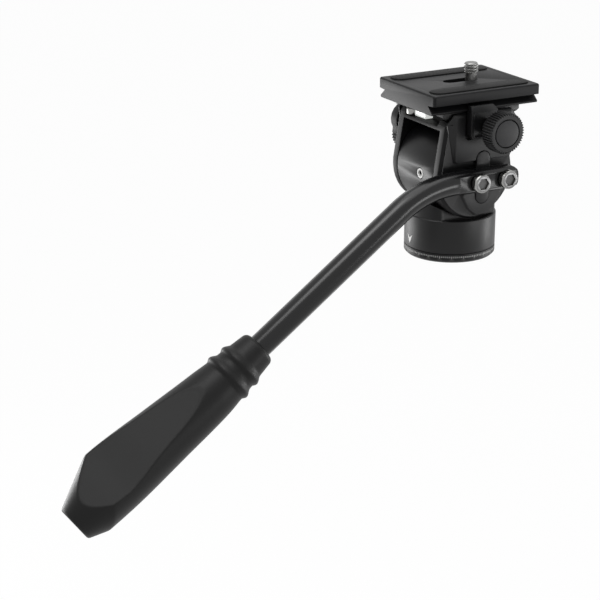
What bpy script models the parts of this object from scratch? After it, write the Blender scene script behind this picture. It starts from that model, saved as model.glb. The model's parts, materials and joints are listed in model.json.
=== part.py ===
# Fluid video head with a pan bar, in metres, +Z up.
# The origin is the centre of the base's bottom face, where the tripod screw enters.
# +Y points to the front of the camera, +X to the operator's right, along the tilt axis.

import math

import bmesh
import bpy
from mathutils import Matrix, Vector

for old_object in list(bpy.data.objects):
    bpy.data.objects.remove(old_object, do_unlink=True)

# Clearances
seat_gap = 0.0003
running_gap = 0.0004
overrun = 0.0020
weld_distance = 0.000001

# Base: bottom ring, housing with a dished top, and the saddle under the drum
base_radius = 0.0200
ring_height = 0.0039
ring_chamfer = 0.0010
housing_height = 0.0146
rim_chamfer = 0.0004
rim_wall = 0.0014
dish_depth = 0.0020
skirt_wall = 0.0028
skirt_depth = 0.0080
saddle_inset = 0.0002
saddle_step = 0.0006
saddle_inner_y = 0.0137
saddle_inner_drop = 0.0146
saddle_slope_share = 0.5

# Pan joint inside the base
bush_radius = 0.0065
bush_bore_radius = 0.0041
bush_length = 0.0063
hub_wall = 0.0020
friction_washer_thickness = 0.0010
pan_shank_radius = 0.0039
pan_head_radius = 0.0068
pan_head_height = 0.0026
pan_floor_thickness = 0.0017
spring_washer_thickness = 0.0008
cradle_clearance = 0.0014

# Tilt drum, its damper rotor, bearings and screws
drum_radius = 0.0188
drum_half_length = 0.0141
drum_wall = 0.0038
drum_end_wall = 0.0033
bearing_wall = 0.0031
journal_radius = 0.0086
journal_seat_depth = 0.0017
mark_radius = 0.0022
mark_bore_radius = 0.0014
mark_depth = 0.0010
mark_offset = 0.0042
drum_screw_radius = 0.0015
drum_screw_head_radius = 0.0026
drum_screw_head_height = 0.0016
drum_thread_depth = 0.0023
drum_screw_wall = 0.0011

# Tilt bracket
cheek_thickness = 0.0043
cheek_overlap = 0.0001
cheek_chamfer = 0.0011
cheek_front_relief = 0.0010
window_clearance = 0.0017
bar_thickness = 0.0044
bar_half_length = 0.0154
bar_corner_radius = 0.0022
pocket_web = 0.0014
pocket_left_inset = 0.0012
pocket_right_inset = 0.0022
pocket_depth = 0.0060
pocket_corner = 0.0010

# Side plates
side_web_thickness = 0.0005
island_thickness = 0.0014
island_middle = 0.0022
island_half_length = 0.0142
island_foot_spread = 0.0002
island_ear = 0.0033
island_ear_drop = 0.0044
island_rise = 0.0071
island_height = 0.0211
island_top_bevel = 0.0013
island_side_bevel = 0.0003
island_corner = 0.0008
shield_top_half = 0.0110
shield_waist_half = 0.0070
shield_foot_half = 0.0032
shield_top_drop = 0.0062
shield_waist_drop = 0.0138
shield_foot_drop = 0.0174
shield_bevel = 0.0007

# Handle
key_half_width = 0.0033
key_half_height = 0.0115
key_drop = 0.0004
handle_screw_land = 0.0007
handle_screw_radius = 0.0025
handle_head_radius = 0.0041
handle_head_height = 0.0029
handle_head_edge = 0.0004
handle_socket_radius = 0.0023
handle_socket_depth = 0.0015
left_head_height = 0.0010
tube_radius = 0.0051
tube_flat = 0.0036
tube_end_margin = 0.0064
tube_end_corner = 0.0040
tube_flat_run = 0.0102
tube_fall_angle = math.radians(35.9)
tube_bend_radius = 0.0450
tube_corner_y = 0.0300
tube_in_grip = 0.0429

# Grip, with its place along the tube counted from the corner of the bend
tube_bare_length = 0.0971
grip_length = 0.1023
grip_mouth_radius = 0.0086
grip_collar_radius = 0.0104
grip_ridge_radius = 0.0122
grip_valley_radius = 0.0112
grip_second_ridge_radius = 0.0131
grip_neck_radius = 0.0122
grip_swell_top = 0.0199
grip_swell_bottom = 0.0145
grip_end_radius = 0.0091
grip_facet_angle = math.radians(47.0)
grip_facet_narrow = 0.0126
grip_facet_wide = 0.0143

# Quick release clamp
receiver_rear = 0.0167
receiver_front = 0.0217
receiver_thickness = 0.0036
receiver_end_bevel = 0.0017
receiver_side_gap = 0.0009
fixed_jaw_wall = 0.0034
receiver_screw_inset = 0.0025
receiver_rear_screw_inset = 0.0026
receiver_front_screw_inset = 0.0042
receiver_screw_wall = 0.0005
receiver_screw_head_radius = 0.0028
receiver_screw_head_height = 0.0017
receiver_screw_radius = 0.0013
receiver_thread_depth = 0.0025
vial_radius = 0.0020
vial_length = 0.0084
vial_inset = 0.0004
jaw_wall = 0.0033
jaw_lip_lean = 0.0007
jaw_lip_gap = 0.0010
jaw_rear_reach = 0.0091
jaw_front_reach = 0.0040
jaw_drop = 0.0046
jaw_corner_radius = 0.0018
jaw_front_chamfer_length = 0.0021
jaw_front_chamfer_drop = 0.0024
jaw_hook_share = 0.62
jaw_lip_drop = 0.0030
jaw_rim = 0.0014
jaw_foot_rim = 0.0009
jaw_recess = 0.0010
jaw_room_rear = 0.0013
jaw_room_side = 0.0006
guide_pin_radius = 0.0012
guide_pin_spacing = 0.0056
guide_pin_seat = 0.0016
guide_pin_rise = 0.0006
guide_pin_length = 0.0070
clamp_axis_y = 0.0030
clamp_screw_radius = 0.0020
clamp_screw_length = 0.0250
clamp_stem_radius = 0.0034
clamp_stem_length = 0.0063
boss_wall = 0.0006
boss_clearance = 0.0003
boss_end_wall = 0.0020
boss_half_length = 0.0045
knob_length = 0.0068
knob_radius = 0.0088
knob_rib_depth = 0.0005
knob_rib_count = 46
knob_edge = 0.0005
knob_web = 0.0027
cap_radius = 0.0057
cap_depth = 0.0012

# Quick release plate
plate_length = 0.0535
plate_centre_y = 0.0027
plate_slab = 0.0044
plate_slab_lip = 0.0018
plate_slab_shoulder = 0.0004
plate_corner = 0.0018
neck_rise = 0.0028
flange_lip = 0.0032
flange_overhang = 0.0007
flange_foot_inset = 0.0004
flange_foot_height = 0.0004
flange_edge_height = 0.0005
pad_half_width = 0.0042
pad_inset = 0.0068
pad_margin = 0.0024
pad_proud = 0.0005
pad_recess = 0.0008
channel_half_width = 0.0078
channel_depth = 0.0041
channel_end_margin = 0.0060
stop_screw_inset = 0.0024
stop_screw_x = 0.0090
stop_screw_radius = 0.0014
stop_screw_drop = 0.0010
stop_screw_depth = 0.0025

# Camera screw, 1/4 in, and its slot in the plate
camera_screw_offset = 0.0061
camera_thread_radius = 0.0031
camera_neck_radius = 0.0025
camera_neck_rise = 0.0027
camera_screw_rise = 0.0072
camera_tip_chamfer = 0.0006
camera_head_radius = 0.0062
camera_head_height = 0.0020
camera_coin_slot = 0.0012
camera_coin_depth = 0.0010
camera_washer_radius = 0.0056
camera_washer_thickness = 0.0005
camera_slot_travel = 0.0108

# Lock knob
lock_axis_y = -0.0080
lock_clearance = 0.0007
lock_knob_thickness = 0.0050
lock_upper_radius = 0.0073
lock_upper_rise = 0.0026
lock_lower_radius = 0.0066
lock_lower_drop = 0.0047
lock_edge = 0.0008
lock_rib_depth = 0.0005
lock_stud_radius = 0.0020
lock_stud_head_radius = 0.0032
lock_stud_head_height = 0.0012
brake_shoe_inset = 0.0003
brake_shoe_length = 0.0018
lock_waist_angle = math.radians(32.0)
lock_rib_pitch = math.radians(12.0)
lock_rib_start = math.radians(166.0)
lock_rib_count = 5

# Heights and faces that follow from the sizes above, from the bottom up
housing_bottom = ring_height + seat_gap
rim_top = housing_bottom + housing_height
dish_floor = rim_top - dish_depth
skirt_top = housing_bottom + skirt_depth
washer_top = skirt_top - seat_gap
hub_top = washer_top - friction_washer_thickness - seat_gap
hub_radius = bush_radius + hub_wall
pan_floor_top = skirt_top + pan_floor_thickness
spring_washer_top = pan_floor_top + seat_gap + spring_washer_thickness
pan_head_bottom = spring_washer_top + seat_gap
pan_head_top = pan_head_bottom + pan_head_height
cradle_radius = drum_radius + seat_gap
tilt_height = pan_head_top + cradle_clearance + cradle_radius
drum_top = tilt_height + drum_radius
drum_bottom = tilt_height - drum_radius
drum_cavity_radius = drum_radius - drum_wall
bearing_radius = journal_radius + seat_gap + bearing_wall
drum_screw_offset = drum_half_length - drum_screw_wall - drum_screw_radius
saddle_half_width = drum_half_length - saddle_inset
saddle_radius = base_radius - saddle_step
cheek_inner = drum_half_length + running_gap
cheek_outer = cheek_inner + cheek_thickness
cheek_radius = drum_radius + cheek_overlap
window_top = drum_top + window_clearance
bar_top = window_top + bar_thickness
pocket_floor = window_top + pocket_web
side_plate_inner = cheek_outer + seat_gap
side_web_outer = side_plate_inner + side_web_thickness
side_plate_outer = side_web_outer + island_thickness
handle_screw_reach = key_half_width + handle_screw_radius + seat_gap + handle_screw_land
handle_screw_places = (
    (island_middle - handle_screw_reach, "rear"),
    (island_middle + handle_screw_reach, "front"),
)
key_outer = side_plate_outer + seat_gap
tube_x = key_outer + seat_gap + tube_flat
tube_front = island_middle + handle_screw_reach + tube_end_margin
tube_flat_back = island_middle - handle_screw_reach - tube_flat_run
handle_face = tube_x + tube_flat
tube_run = tube_bare_length + tube_in_grip
receiver_bottom = bar_top + seat_gap
receiver_top = receiver_bottom + receiver_thickness
plate_bottom = receiver_top + seat_gap
flange_low = plate_bottom + flange_foot_height
flange_high = flange_low + flange_edge_height
neck_height = flange_high + neck_rise
slab_bottom = neck_height + plate_slab_shoulder
plate_top = slab_bottom + plate_slab
jaw_inner_face = side_web_outer + seat_gap
flange_half_width = jaw_inner_face + flange_overhang
neck_half_width = flange_half_width - flange_lip
plate_half_width = flange_half_width + plate_slab_lip
plate_rear = plate_centre_y - plate_length / 2
plate_front = plate_centre_y + plate_length / 2
plate_web_bottom = plate_bottom + channel_depth
pad_recess_floor = plate_top - pad_recess
pad_centre_x = plate_half_width - pad_inset
receiver_right = side_plate_inner - receiver_side_gap
receiver_left = flange_half_width + seat_gap + fixed_jaw_wall
jaw_outer_face = flange_half_width + jaw_wall
jaw_lip_top = neck_height - jaw_lip_gap
clamp_axis_height = drum_top + boss_clearance + boss_wall + seat_gap + clamp_screw_radius
jaw_bottom = clamp_axis_height - jaw_drop
jaw_rear = clamp_axis_y - jaw_rear_reach
jaw_front = clamp_axis_y + jaw_front_reach
guide_pin_y = clamp_axis_y - guide_pin_spacing
guide_pin_height = clamp_axis_height + guide_pin_rise
guide_pin_high = jaw_inner_face + guide_pin_seat
guide_pin_low = guide_pin_high - guide_pin_length
receiver_screw_x = cheek_inner - receiver_screw_inset
receiver_front_screw_y = bar_half_length - receiver_front_screw_inset
receiver_right_screw_y = (guide_pin_y - guide_pin_radius - receiver_screw_radius - seat_gap * 2
                          - receiver_screw_wall)
receiver_screw_places = (
    (-receiver_screw_x, receiver_rear_screw_inset - bar_half_length, "rear_left"),
    (receiver_screw_x, receiver_right_screw_y, "rear_right"),
    (-receiver_screw_x, receiver_front_screw_y, "front_left"),
    (receiver_screw_x, receiver_front_screw_y, "front_right"),
)
vial_place = (
    seat_gap * 2 + receiver_screw_head_radius - receiver_screw_x + vial_length / 2,
    cheek_chamfer + vial_inset + vial_radius - bar_half_length,
    pocket_floor + seat_gap + vial_radius,
)
knob_inner_face = jaw_outer_face + clamp_stem_length
knob_outer_face = knob_inner_face + knob_length
clamp_screw_high = knob_outer_face - knob_web - seat_gap
clamp_screw_low = clamp_screw_high - clamp_screw_length
camera_screw_y = plate_centre_y + camera_screw_offset
camera_slot_half_width = camera_neck_radius + seat_gap
lock_axis_height = receiver_bottom - lock_clearance - lock_upper_radius - lock_upper_rise
lock_inner_face = side_plate_outer + seat_gap
brake_shoe_radius = lock_stud_radius - brake_shoe_inset
tilt_axis = Vector((0, 0, tilt_height))
origin = Vector((0, 0, 0))

parts = bpy.data.collections.new("fluid_video_head")
cutters = bpy.data.collections.new("cutters")
bpy.context.scene.collection.children.link(parts)
bpy.context.scene.collection.children.link(cutters)


def make_material(name, colour, roughness, metallic):
    material = bpy.data.materials.new(name)
    material.use_nodes = True
    shader = material.node_tree.nodes["Principled BSDF"]
    shader.inputs["Base Color"].default_value = (*colour, 1.0)
    shader.inputs["Roughness"].default_value = roughness
    shader.inputs["Metallic"].default_value = metallic
    return material


black_anodised = make_material("black_anodised", (0.035, 0.036, 0.038), 0.42, 0.85)
satin_black = make_material("satin_black", (0.022, 0.022, 0.023), 0.38, 0.2)
matte_black = make_material("matte_black", (0.020, 0.020, 0.021), 0.60, 0.0)
black_rubber = make_material("black_rubber", (0.016, 0.016, 0.016), 0.75, 0.0)
polished_steel = make_material("polished_steel", (0.62, 0.62, 0.61), 0.22, 1.0)
brass = make_material("brass", (0.60, 0.45, 0.20), 0.35, 1.0)
pale_acrylic = make_material("pale_acrylic", (0.75, 0.78, 0.74), 0.15, 0.0)
white_mark = make_material("white_mark", (0.80, 0.80, 0.79), 0.55, 0.0)
natural_nylon = make_material("natural_nylon", (0.55, 0.54, 0.50), 0.55, 0.0)


def make_pivot(name, place, parent=None):
    pivot = bpy.data.objects.new(name, None)
    pivot.empty_display_size = base_radius
    parts.objects.link(pivot)
    pivot["place"] = list(place)
    pivot.parent = parent
    carrier = Vector(parent["place"]) if parent else origin
    pivot.location = Vector(place) - carrier
    return pivot


def place_piece(piece, material, pivot, place):
    """Give a piece its material and its pivot, at a place in the part's frame."""
    piece.data.materials.clear()
    piece.data.materials.append(material)
    parts.objects.link(piece)
    piece.parent = pivot
    piece.location = Vector(place) - Vector(pivot["place"])


def place_cutter(cutter, place):
    cutters.objects.link(cutter)
    cutter.location = place
    cutter.hide_render = True
    cutter.display_type = "WIRE"


def combine(piece, other, operation):
    boolean = piece.modifiers.new(other.name, "BOOLEAN")
    boolean.operation = operation
    boolean.solver = "EXACT"
    boolean.object = other


def add_bevel(piece, width, segments=1, angle=30.0):
    bevel = piece.modifiers.new("edges", "BEVEL")
    bevel.width = width
    bevel.segments = segments
    bevel.limit_method = "ANGLE"
    bevel.angle_limit = math.radians(angle)
    bevel.harden_normals = False


def object_from_bmesh(name, bm, smooth=False):
    bmesh.ops.recalc_face_normals(bm, faces=bm.faces)
    mesh = bpy.data.meshes.new(name)
    bm.to_mesh(mesh)
    bm.free()
    if smooth:
        mesh.shade_smooth()
        mesh.set_sharp_from_angle(angle=math.radians(35.0))
    return bpy.data.objects.new(name, mesh)


axis_turns = {
    "X": Matrix.Rotation(math.radians(90.0), 4, "Y"),
    "Y": Matrix.Rotation(math.radians(-90.0), 4, "X"),
    "Z": Matrix.Identity(4),
}


def turned(name, profile, steps, axis="Z", closed=False):
    """Turn a profile of (radius, height) pairs, listed down its outer side, about an axis."""
    bm = bmesh.new()
    points = [bm.verts.new((radius, 0, height)) for radius, height in profile]
    for first, second in zip(points, points[1:]):
        bm.edges.new((first, second))
    if closed:
        bm.edges.new((points[-1], points[0]))
    mesh = bpy.data.meshes.new(name)
    bm.to_mesh(mesh)
    bm.free()
    piece = bpy.data.objects.new(name, mesh)
    screw = piece.modifiers.new("turn", "SCREW")
    screw.axis = "Z"
    screw.angle = math.radians(360.0)
    screw.steps = steps
    screw.render_steps = steps
    screw.use_merge_vertices = True
    screw.merge_threshold = weld_distance
    screw.use_smooth_shade = True
    piece.matrix_basis = axis_turns[axis]
    return piece


def cylinder(name, radius, low, high, steps, axis="Z"):
    """A round bar from low to high along an axis, drawn about that axis."""
    bm = bmesh.new()
    middle = Matrix.Translation((0, 0, (low + high) / 2))
    bmesh.ops.create_cone(bm, cap_ends=True, segments=steps, radius1=radius, radius2=radius,
                          depth=high - low, matrix=middle)
    bmesh.ops.transform(bm, matrix=axis_turns[axis], verts=bm.verts)
    return object_from_bmesh(name, bm, smooth=True)


def tube(name, outer, inner, low, high, steps, axis="Z"):
    profile = [(inner, high), (outer, high), (outer, low), (inner, low)]
    return turned(name, profile, steps, axis, closed=True)


def box(name, low, high):
    bm = bmesh.new()
    size = [b - a for a, b in zip(low, high)]
    middle = [(a + b) / 2 for a, b in zip(low, high)]
    matrix = Matrix.Translation(middle) @ Matrix.Diagonal((*size, 1.0))
    bmesh.ops.create_cube(bm, size=1.0, matrix=matrix)
    return object_from_bmesh(name, bm)


def rounded_outline(corners, radius, steps=3):
    """Round every corner of a closed outline by the same radius."""
    outline = []
    count = len(corners)
    for index in range(count):
        here = Vector(corners[index])
        before = (Vector(corners[index - 1]) - here).normalized()
        after = (Vector(corners[(index + 1) % count]) - here).normalized()
        half_angle = before.angle(after) / 2
        bisector = (before + after).normalized()
        centre = here + bisector * (radius / math.sin(half_angle))
        start = here + before * (radius / math.tan(half_angle)) - centre
        stop = here + after * (radius / math.tan(half_angle)) - centre
        for step in range(steps + 1):
            spoke = start.lerp(stop, step / steps).normalized() * radius
            outline.append(tuple(centre + spoke))
    return outline


def stadium(half_width, low, high, steps=8):
    """A slot outline along its second coordinate, with round ends."""
    outline = []
    for step in range(steps + 1):
        angle = math.pi * step / steps
        outline.append((half_width * math.cos(angle), high - half_width + half_width * math.sin(angle)))
    for step in range(steps + 1):
        angle = math.pi + math.pi * step / steps
        outline.append((half_width * math.cos(angle), low + half_width + half_width * math.sin(angle)))
    return outline


# How a flat outline's two coordinates and its thickness lie in the part's frame
plane_turns = {
    "XY": Matrix.Identity(4),
    "YZ": Matrix(((0, 0, 1, 0), (1, 0, 0, 0), (0, 1, 0, 0), (0, 0, 0, 1))),
    "XZ": Matrix(((1, 0, 0, 0), (0, 0, -1, 0), (0, 1, 0, 0), (0, 0, 0, 1))),
}


def welded_curve(curve):
    """Turn a curve into a closed welded mesh, and remove the curve."""
    drawn = bpy.data.objects.new(curve.name, curve)
    cutters.objects.link(drawn)
    depsgraph = bpy.context.evaluated_depsgraph_get()
    mesh = bpy.data.meshes.new_from_object(drawn.evaluated_get(depsgraph))
    bpy.data.objects.remove(drawn, do_unlink=True)
    bpy.data.curves.remove(curve)
    bm = bmesh.new()
    bm.from_mesh(mesh)
    bpy.data.meshes.remove(mesh)
    bmesh.ops.remove_doubles(bm, verts=bm.verts, dist=weld_distance)
    return bm


def plate(name, outline, low, high, plane):
    """Extrude a flat outline between two distances along the normal of its plane."""
    curve = bpy.data.curves.new(name, "CURVE")
    curve.dimensions = "2D"
    curve.fill_mode = "BOTH"
    curve.extrude = (high - low) / 2
    spline = curve.splines.new("POLY")
    spline.points.add(len(outline) - 1)
    for point, (first, second) in zip(spline.points, outline):
        point.co = (first, second, 0, 1)
    spline.use_cyclic_u = True
    bm = welded_curve(curve)
    bmesh.ops.dissolve_limit(bm, angle_limit=math.radians(0.5), verts=bm.verts, edges=bm.edges)
    sign = -1 if plane == "XZ" else 1
    bmesh.ops.translate(bm, verts=bm.verts, vec=(0, 0, sign * (low + high) / 2))
    bmesh.ops.transform(bm, matrix=plane_turns[plane], verts=bm.verts)
    return object_from_bmesh(name, bm)


def cut_hole(piece, name, radius, low, high, place, axis, steps=16):
    cutter = cylinder(name, radius, low, high, steps, axis)
    place_cutter(cutter, place)
    combine(piece, cutter, "DIFFERENCE")


base_pivot = make_pivot("base_pivot", origin)
pan_pivot = make_pivot("pan_pivot", origin, base_pivot)
tilt_pivot = make_pivot("tilt_pivot", tilt_axis, pan_pivot)
jaw_pivot = make_pivot("jaw_pivot", (jaw_outer_face, clamp_axis_y, clamp_axis_height), tilt_pivot)
knob_pivot = make_pivot("knob_pivot", (knob_outer_face, clamp_axis_y, clamp_axis_height), jaw_pivot)
plate_pivot = make_pivot("plate_pivot", (0, plate_centre_y, plate_bottom), tilt_pivot)
screw_slide_pivot = make_pivot("screw_slide_pivot", (0, camera_screw_y, plate_top), plate_pivot)
screw_pivot = make_pivot("screw_pivot", (0, camera_screw_y, plate_top), screw_slide_pivot)
lock_pivot = make_pivot("lock_pivot", (-lock_inner_face, lock_axis_y, lock_axis_height), tilt_pivot)


def build_scale_ring():
    hub_shoulder = hub_radius + skirt_wall
    profile = [
        (pan_shank_radius + seat_gap, hub_top),
        (hub_radius, hub_top),
        (hub_radius, ring_height + skirt_wall),
        (hub_shoulder, ring_height),
        (base_radius, ring_height),
        (base_radius, ring_chamfer),
        (base_radius - ring_chamfer, 0),
        (bush_radius + seat_gap, 0),
        (bush_radius + seat_gap, bush_length + seat_gap),
        (pan_shank_radius + seat_gap, bush_length + seat_gap),
    ]
    ring = turned("scale_ring", profile, 48, closed=True)
    place_piece(ring, black_anodised, base_pivot, origin)


def build_pan_joint():
    bush = tube("tripod_bush", bush_radius, bush_bore_radius, 0, bush_length, 24)
    place_piece(bush, brass, base_pivot, origin)
    washer = tube("pan_friction_washer", hub_radius, pan_shank_radius + seat_gap,
                  hub_top + seat_gap, washer_top, 20)
    place_piece(washer, natural_nylon, base_pivot, origin)
    spring = tube("pan_spring_washer", pan_head_radius, pan_shank_radius + seat_gap,
                  pan_floor_top + seat_gap, spring_washer_top, 24)
    place_piece(spring, polished_steel, base_pivot, origin)
    shank_bottom = bush_length + seat_gap + seat_gap
    profile = [
        (0, pan_head_bottom + pan_head_height),
        (pan_head_radius, pan_head_bottom + pan_head_height),
        (pan_head_radius, pan_head_bottom),
        (pan_shank_radius, pan_head_bottom),
        (pan_shank_radius, shank_bottom),
        (0, shank_bottom),
    ]
    bolt = turned("pan_bolt", profile, 24)
    place_piece(bolt, polished_steel, base_pivot, origin)


def build_housing():
    """Skirt, dished top and the saddle, whose ends rise outward to a crest."""
    wall_radius = base_radius - rim_chamfer - rim_wall
    profile = [
        (0, dish_floor),
        (wall_radius, dish_floor),
        (wall_radius, rim_top),
        (base_radius - rim_chamfer, rim_top),
        (base_radius, rim_top - rim_chamfer),
        (base_radius, housing_bottom),
        (base_radius - skirt_wall, housing_bottom),
        (base_radius - skirt_wall, skirt_top),
        (0, skirt_top),
    ]
    housing = turned("pan_housing", profile, 48)
    saddle_low = (skirt_top + dish_floor) / 2
    inner = tilt_height - saddle_inner_drop
    crest_y = saddle_radius + overrun
    crest = inner + saddle_slope_share * (crest_y - saddle_inner_y)
    ends = [
        (-crest_y, saddle_low),
        (crest_y, saddle_low),
        (crest_y, crest),
        (saddle_inner_y, inner),
        (-saddle_inner_y, inner),
        (-crest_y, crest),
    ]
    saddle = plate("saddle", ends, -saddle_half_width, saddle_half_width, "YZ")
    place_cutter(saddle, origin)
    round_ends = cylinder("saddle_round_ends", saddle_radius, saddle_low - overrun, crest + overrun, 48)
    place_cutter(round_ends, origin)
    combine(saddle, round_ends, "INTERSECT")
    combine(housing, saddle, "UNION")
    place_piece(housing, black_anodised, pan_pivot, origin)
    reach = saddle_half_width + overrun
    cut_hole(housing, "cradle", cradle_radius, -reach, reach, tilt_axis, "X", 48)
    cut_hole(housing, "pan_counterbore", pan_head_radius + seat_gap, pan_floor_top, tilt_height,
             origin, "Z", 24)
    cut_hole(housing, "pan_bore", pan_shank_radius + seat_gap, skirt_top - overrun,
             pan_floor_top + overrun, origin, "Z", 24)
    head_top = skirt_top + drum_screw_head_height + seat_gap
    for side, name in ((-1, "left"), (1, "right")):
        place = (side * drum_screw_offset, 0, 0)
        cut_hole(housing, "drum_screw_bore_" + name, drum_screw_radius + seat_gap,
                 skirt_top - overrun, tilt_height, place, "Z", 12)
        cut_hole(housing, "drum_screw_seat_" + name, drum_screw_head_radius + seat_gap,
                 skirt_top - overrun, head_top, place, "Z", 16)


def build_drum():
    profile = [
        (drum_cavity_radius, drum_half_length),
        (drum_radius, drum_half_length),
        (drum_radius, -drum_half_length),
        (bearing_radius + seat_gap, -drum_half_length),
        (bearing_radius + seat_gap, -drum_half_length + drum_end_wall),
        (drum_cavity_radius, -drum_half_length + drum_end_wall),
    ]
    drum = turned("tilt_drum", profile, 48, "X", closed=True)
    place_piece(drum, matte_black, pan_pivot, tilt_axis)
    cut_hole(drum, "mark_seat", mark_radius + seat_gap, -drum_radius - overrun,
             mark_depth + seat_gap - drum_radius, (mark_offset, 0, tilt_height), "Y", 20)
    mark = tube("drum_mark_ring", mark_radius, mark_bore_radius, 0, mark_depth, 20, "Y")
    place_piece(mark, white_mark, pan_pivot, (mark_offset, -drum_radius, tilt_height))
    thread_top = drum_bottom + drum_thread_depth
    head_top = skirt_top + drum_screw_head_height
    for side, name in ((-1, "left"), (1, "right")):
        place = (side * drum_screw_offset, 0, 0)
        cut_hole(drum, "drum_thread_" + name, drum_screw_radius + seat_gap,
                 drum_bottom - overrun, thread_top, place, "Z", 12)
        profile = [
            (0, thread_top - seat_gap),
            (drum_screw_radius, thread_top - seat_gap),
            (drum_screw_radius, head_top),
            (drum_screw_head_radius, head_top),
            (drum_screw_head_radius, skirt_top),
            (0, skirt_top),
        ]
        screw = turned("drum_screw_" + name, profile, 12)
        place_piece(screw, polished_steel, pan_pivot, place)


def build_drum_ends():
    """Cover over the drum's open end and the two bearings of the rotor."""
    cover_low = drum_half_length - drum_end_wall
    cover = tube("drum_end_cover", drum_cavity_radius - seat_gap, bearing_radius + seat_gap,
                 cover_low, drum_half_length, 32, "X")
    place_piece(cover, matte_black, pan_pivot, tilt_axis)
    for side, name in ((-1, "left"), (1, "right")):
        low, high = sorted((side * cover_low, side * drum_half_length))
        bearing = tube("drum_bearing_" + name, bearing_radius, journal_radius + seat_gap,
                       low, high, 24, "X")
        place_piece(bearing, brass, pan_pivot, tilt_axis)


def build_rotor():
    """Damper rotor in the drum, whose two journals end in the cheeks."""
    disc_half_length = drum_half_length - drum_end_wall - running_gap
    disc_radius = drum_cavity_radius - running_gap
    end = cheek_inner + journal_seat_depth - seat_gap
    profile = [
        (0, end),
        (journal_radius, end),
        (journal_radius, disc_half_length),
        (disc_radius, disc_half_length),
        (disc_radius, -disc_half_length),
        (journal_radius, -disc_half_length),
        (journal_radius, -end),
        (0, -end),
    ]
    rotor = turned("tilt_rotor", profile, 32, "X")
    place_piece(rotor, black_anodised, tilt_pivot, tilt_axis)


def cheek_outline(inset):
    """Side view of the bracket: round about the tilt axis, flatter at the lower front."""
    outline = []
    radius = cheek_radius - inset
    lift = math.radians(5.0)
    steps = 22
    for step in range(steps + 1):
        angle = math.pi - lift + (math.pi + 2 * lift) * step / steps
        front = max(0, math.cos(angle)) * max(0, -math.sin(angle))
        reach = radius - 2 * cheek_front_relief * front
        outline.append((reach * math.cos(angle), tilt_height + reach * math.sin(angle)))
    corner = bar_corner_radius - inset
    centre_y = bar_half_length - bar_corner_radius
    centre_z = bar_top - bar_corner_radius
    for side, start in ((1, 0.0), (-1, 90.0)):
        for step in range(4):
            angle = math.radians(start + 30.0 * step)
            outline.append((side * centre_y + corner * math.cos(angle),
                            centre_z + corner * math.sin(angle)))
    return outline


def build_bracket():
    bracket = plate("tilt_bracket", cheek_outline(0), -cheek_outer, cheek_outer, "YZ")
    add_bevel(bracket, cheek_chamfer)
    place_piece(bracket, black_anodised, tilt_pivot, origin)
    reach = cheek_radius + overrun
    gap = box("drum_gap", (-cheek_inner, -reach, tilt_height - reach), (cheek_inner, reach, window_top))
    place_cutter(gap, origin)
    combine(bracket, gap, "DIFFERENCE")
    boss = box("clamp_screw_boss",
               (clamp_screw_low - boss_end_wall, clamp_axis_y - boss_half_length, drum_top + boss_clearance),
               (cheek_inner + overrun, clamp_axis_y + boss_half_length, window_top + overrun))
    place_cutter(boss, origin)
    combine(bracket, boss, "UNION")

    lid = bar_top + overrun
    left = pocket_left_inset - cheek_inner
    right = cheek_inner - pocket_right_inset
    pocket_outline = rounded_outline([(left, pocket_floor), (right, pocket_floor), (right, lid),
                                      (left, lid)], pocket_corner)
    pocket = plate("level_pocket", pocket_outline, -cheek_radius, pocket_depth - bar_half_length, "XZ")
    place_cutter(pocket, origin)
    combine(bracket, pocket, "DIFFERENCE")
    cut_bracket_holes(bracket)


def cut_bracket_holes(bracket):
    seat_end = cheek_inner + journal_seat_depth
    for side, name in ((-1, "left"), (1, "right")):
        low, high = sorted((side * (cheek_inner - overrun), side * seat_end))
        cut_hole(bracket, "journal_seat_" + name, journal_radius + seat_gap, low, high, tilt_axis, "X", 32)
        low, high = sorted((side * (seat_end + seat_gap), side * (cheek_outer + overrun)))
        for place_y, end in handle_screw_places:
            cut_hole(bracket, "cheek_thread_" + name + "_" + end, handle_screw_radius + seat_gap,
                     low, high, (0, place_y, tilt_height), "X", 12)
    for x, y, name in receiver_screw_places:
        seat_low, seat_high = window_top - overrun, window_top + receiver_screw_head_height + seat_gap
        if name == "rear_left":
            seat_low, seat_high = pocket_floor, bar_top + overrun
        else:
            cut_hole(bracket, "receiver_bore_" + name, receiver_screw_radius + seat_gap,
                     window_top - overrun, bar_top + overrun, (x, y, 0), "Z", 12)
        cut_hole(bracket, "receiver_head_" + name, receiver_screw_head_radius + seat_gap,
                 seat_low, seat_high, (x, y, 0), "Z", 16)
    cut_hole(bracket, "clamp_thread", clamp_screw_radius + seat_gap, clamp_screw_low - seat_gap,
             jaw_outer_face, (0, clamp_axis_y, clamp_axis_height), "X", 16)
    cut_hole(bracket, "guide_bore", guide_pin_radius + seat_gap, guide_pin_low - seat_gap, jaw_outer_face,
             (0, guide_pin_y, guide_pin_height), "X", 12)
    cut_hole(bracket, "lock_thread", lock_stud_radius + seat_gap, -cheek_outer - overrun,
             overrun - cheek_inner, (0, lock_axis_y, lock_axis_height), "X", 12)


def layered(name, layers):
    """Skin through outlines of equal point counts, each at its own distance along X."""
    bm = bmesh.new()
    rings = [[bm.verts.new((x, y, z)) for y, z in outline] for x, outline in layers]
    walls = []
    for first, second in zip(rings, rings[1:]):
        for index in range(len(first)):
            after = (index + 1) % len(first)
            walls.append(bm.faces.new((first[index], first[after], second[after], second[index])))
    bmesh.ops.triangulate(bm, faces=walls)
    bm.faces.new(rings[0])
    bm.faces.new(rings[-1])
    return object_from_bmesh(name, bm)


def mirrored_outline(half):
    """Close an outline given by its rear half, mirrored about the middle of the side plate."""
    rear = [(island_middle - reach, height) for reach, height in half]
    return rear + [(2 * island_middle - y, z) for y, z in reversed(rear)]


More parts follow.
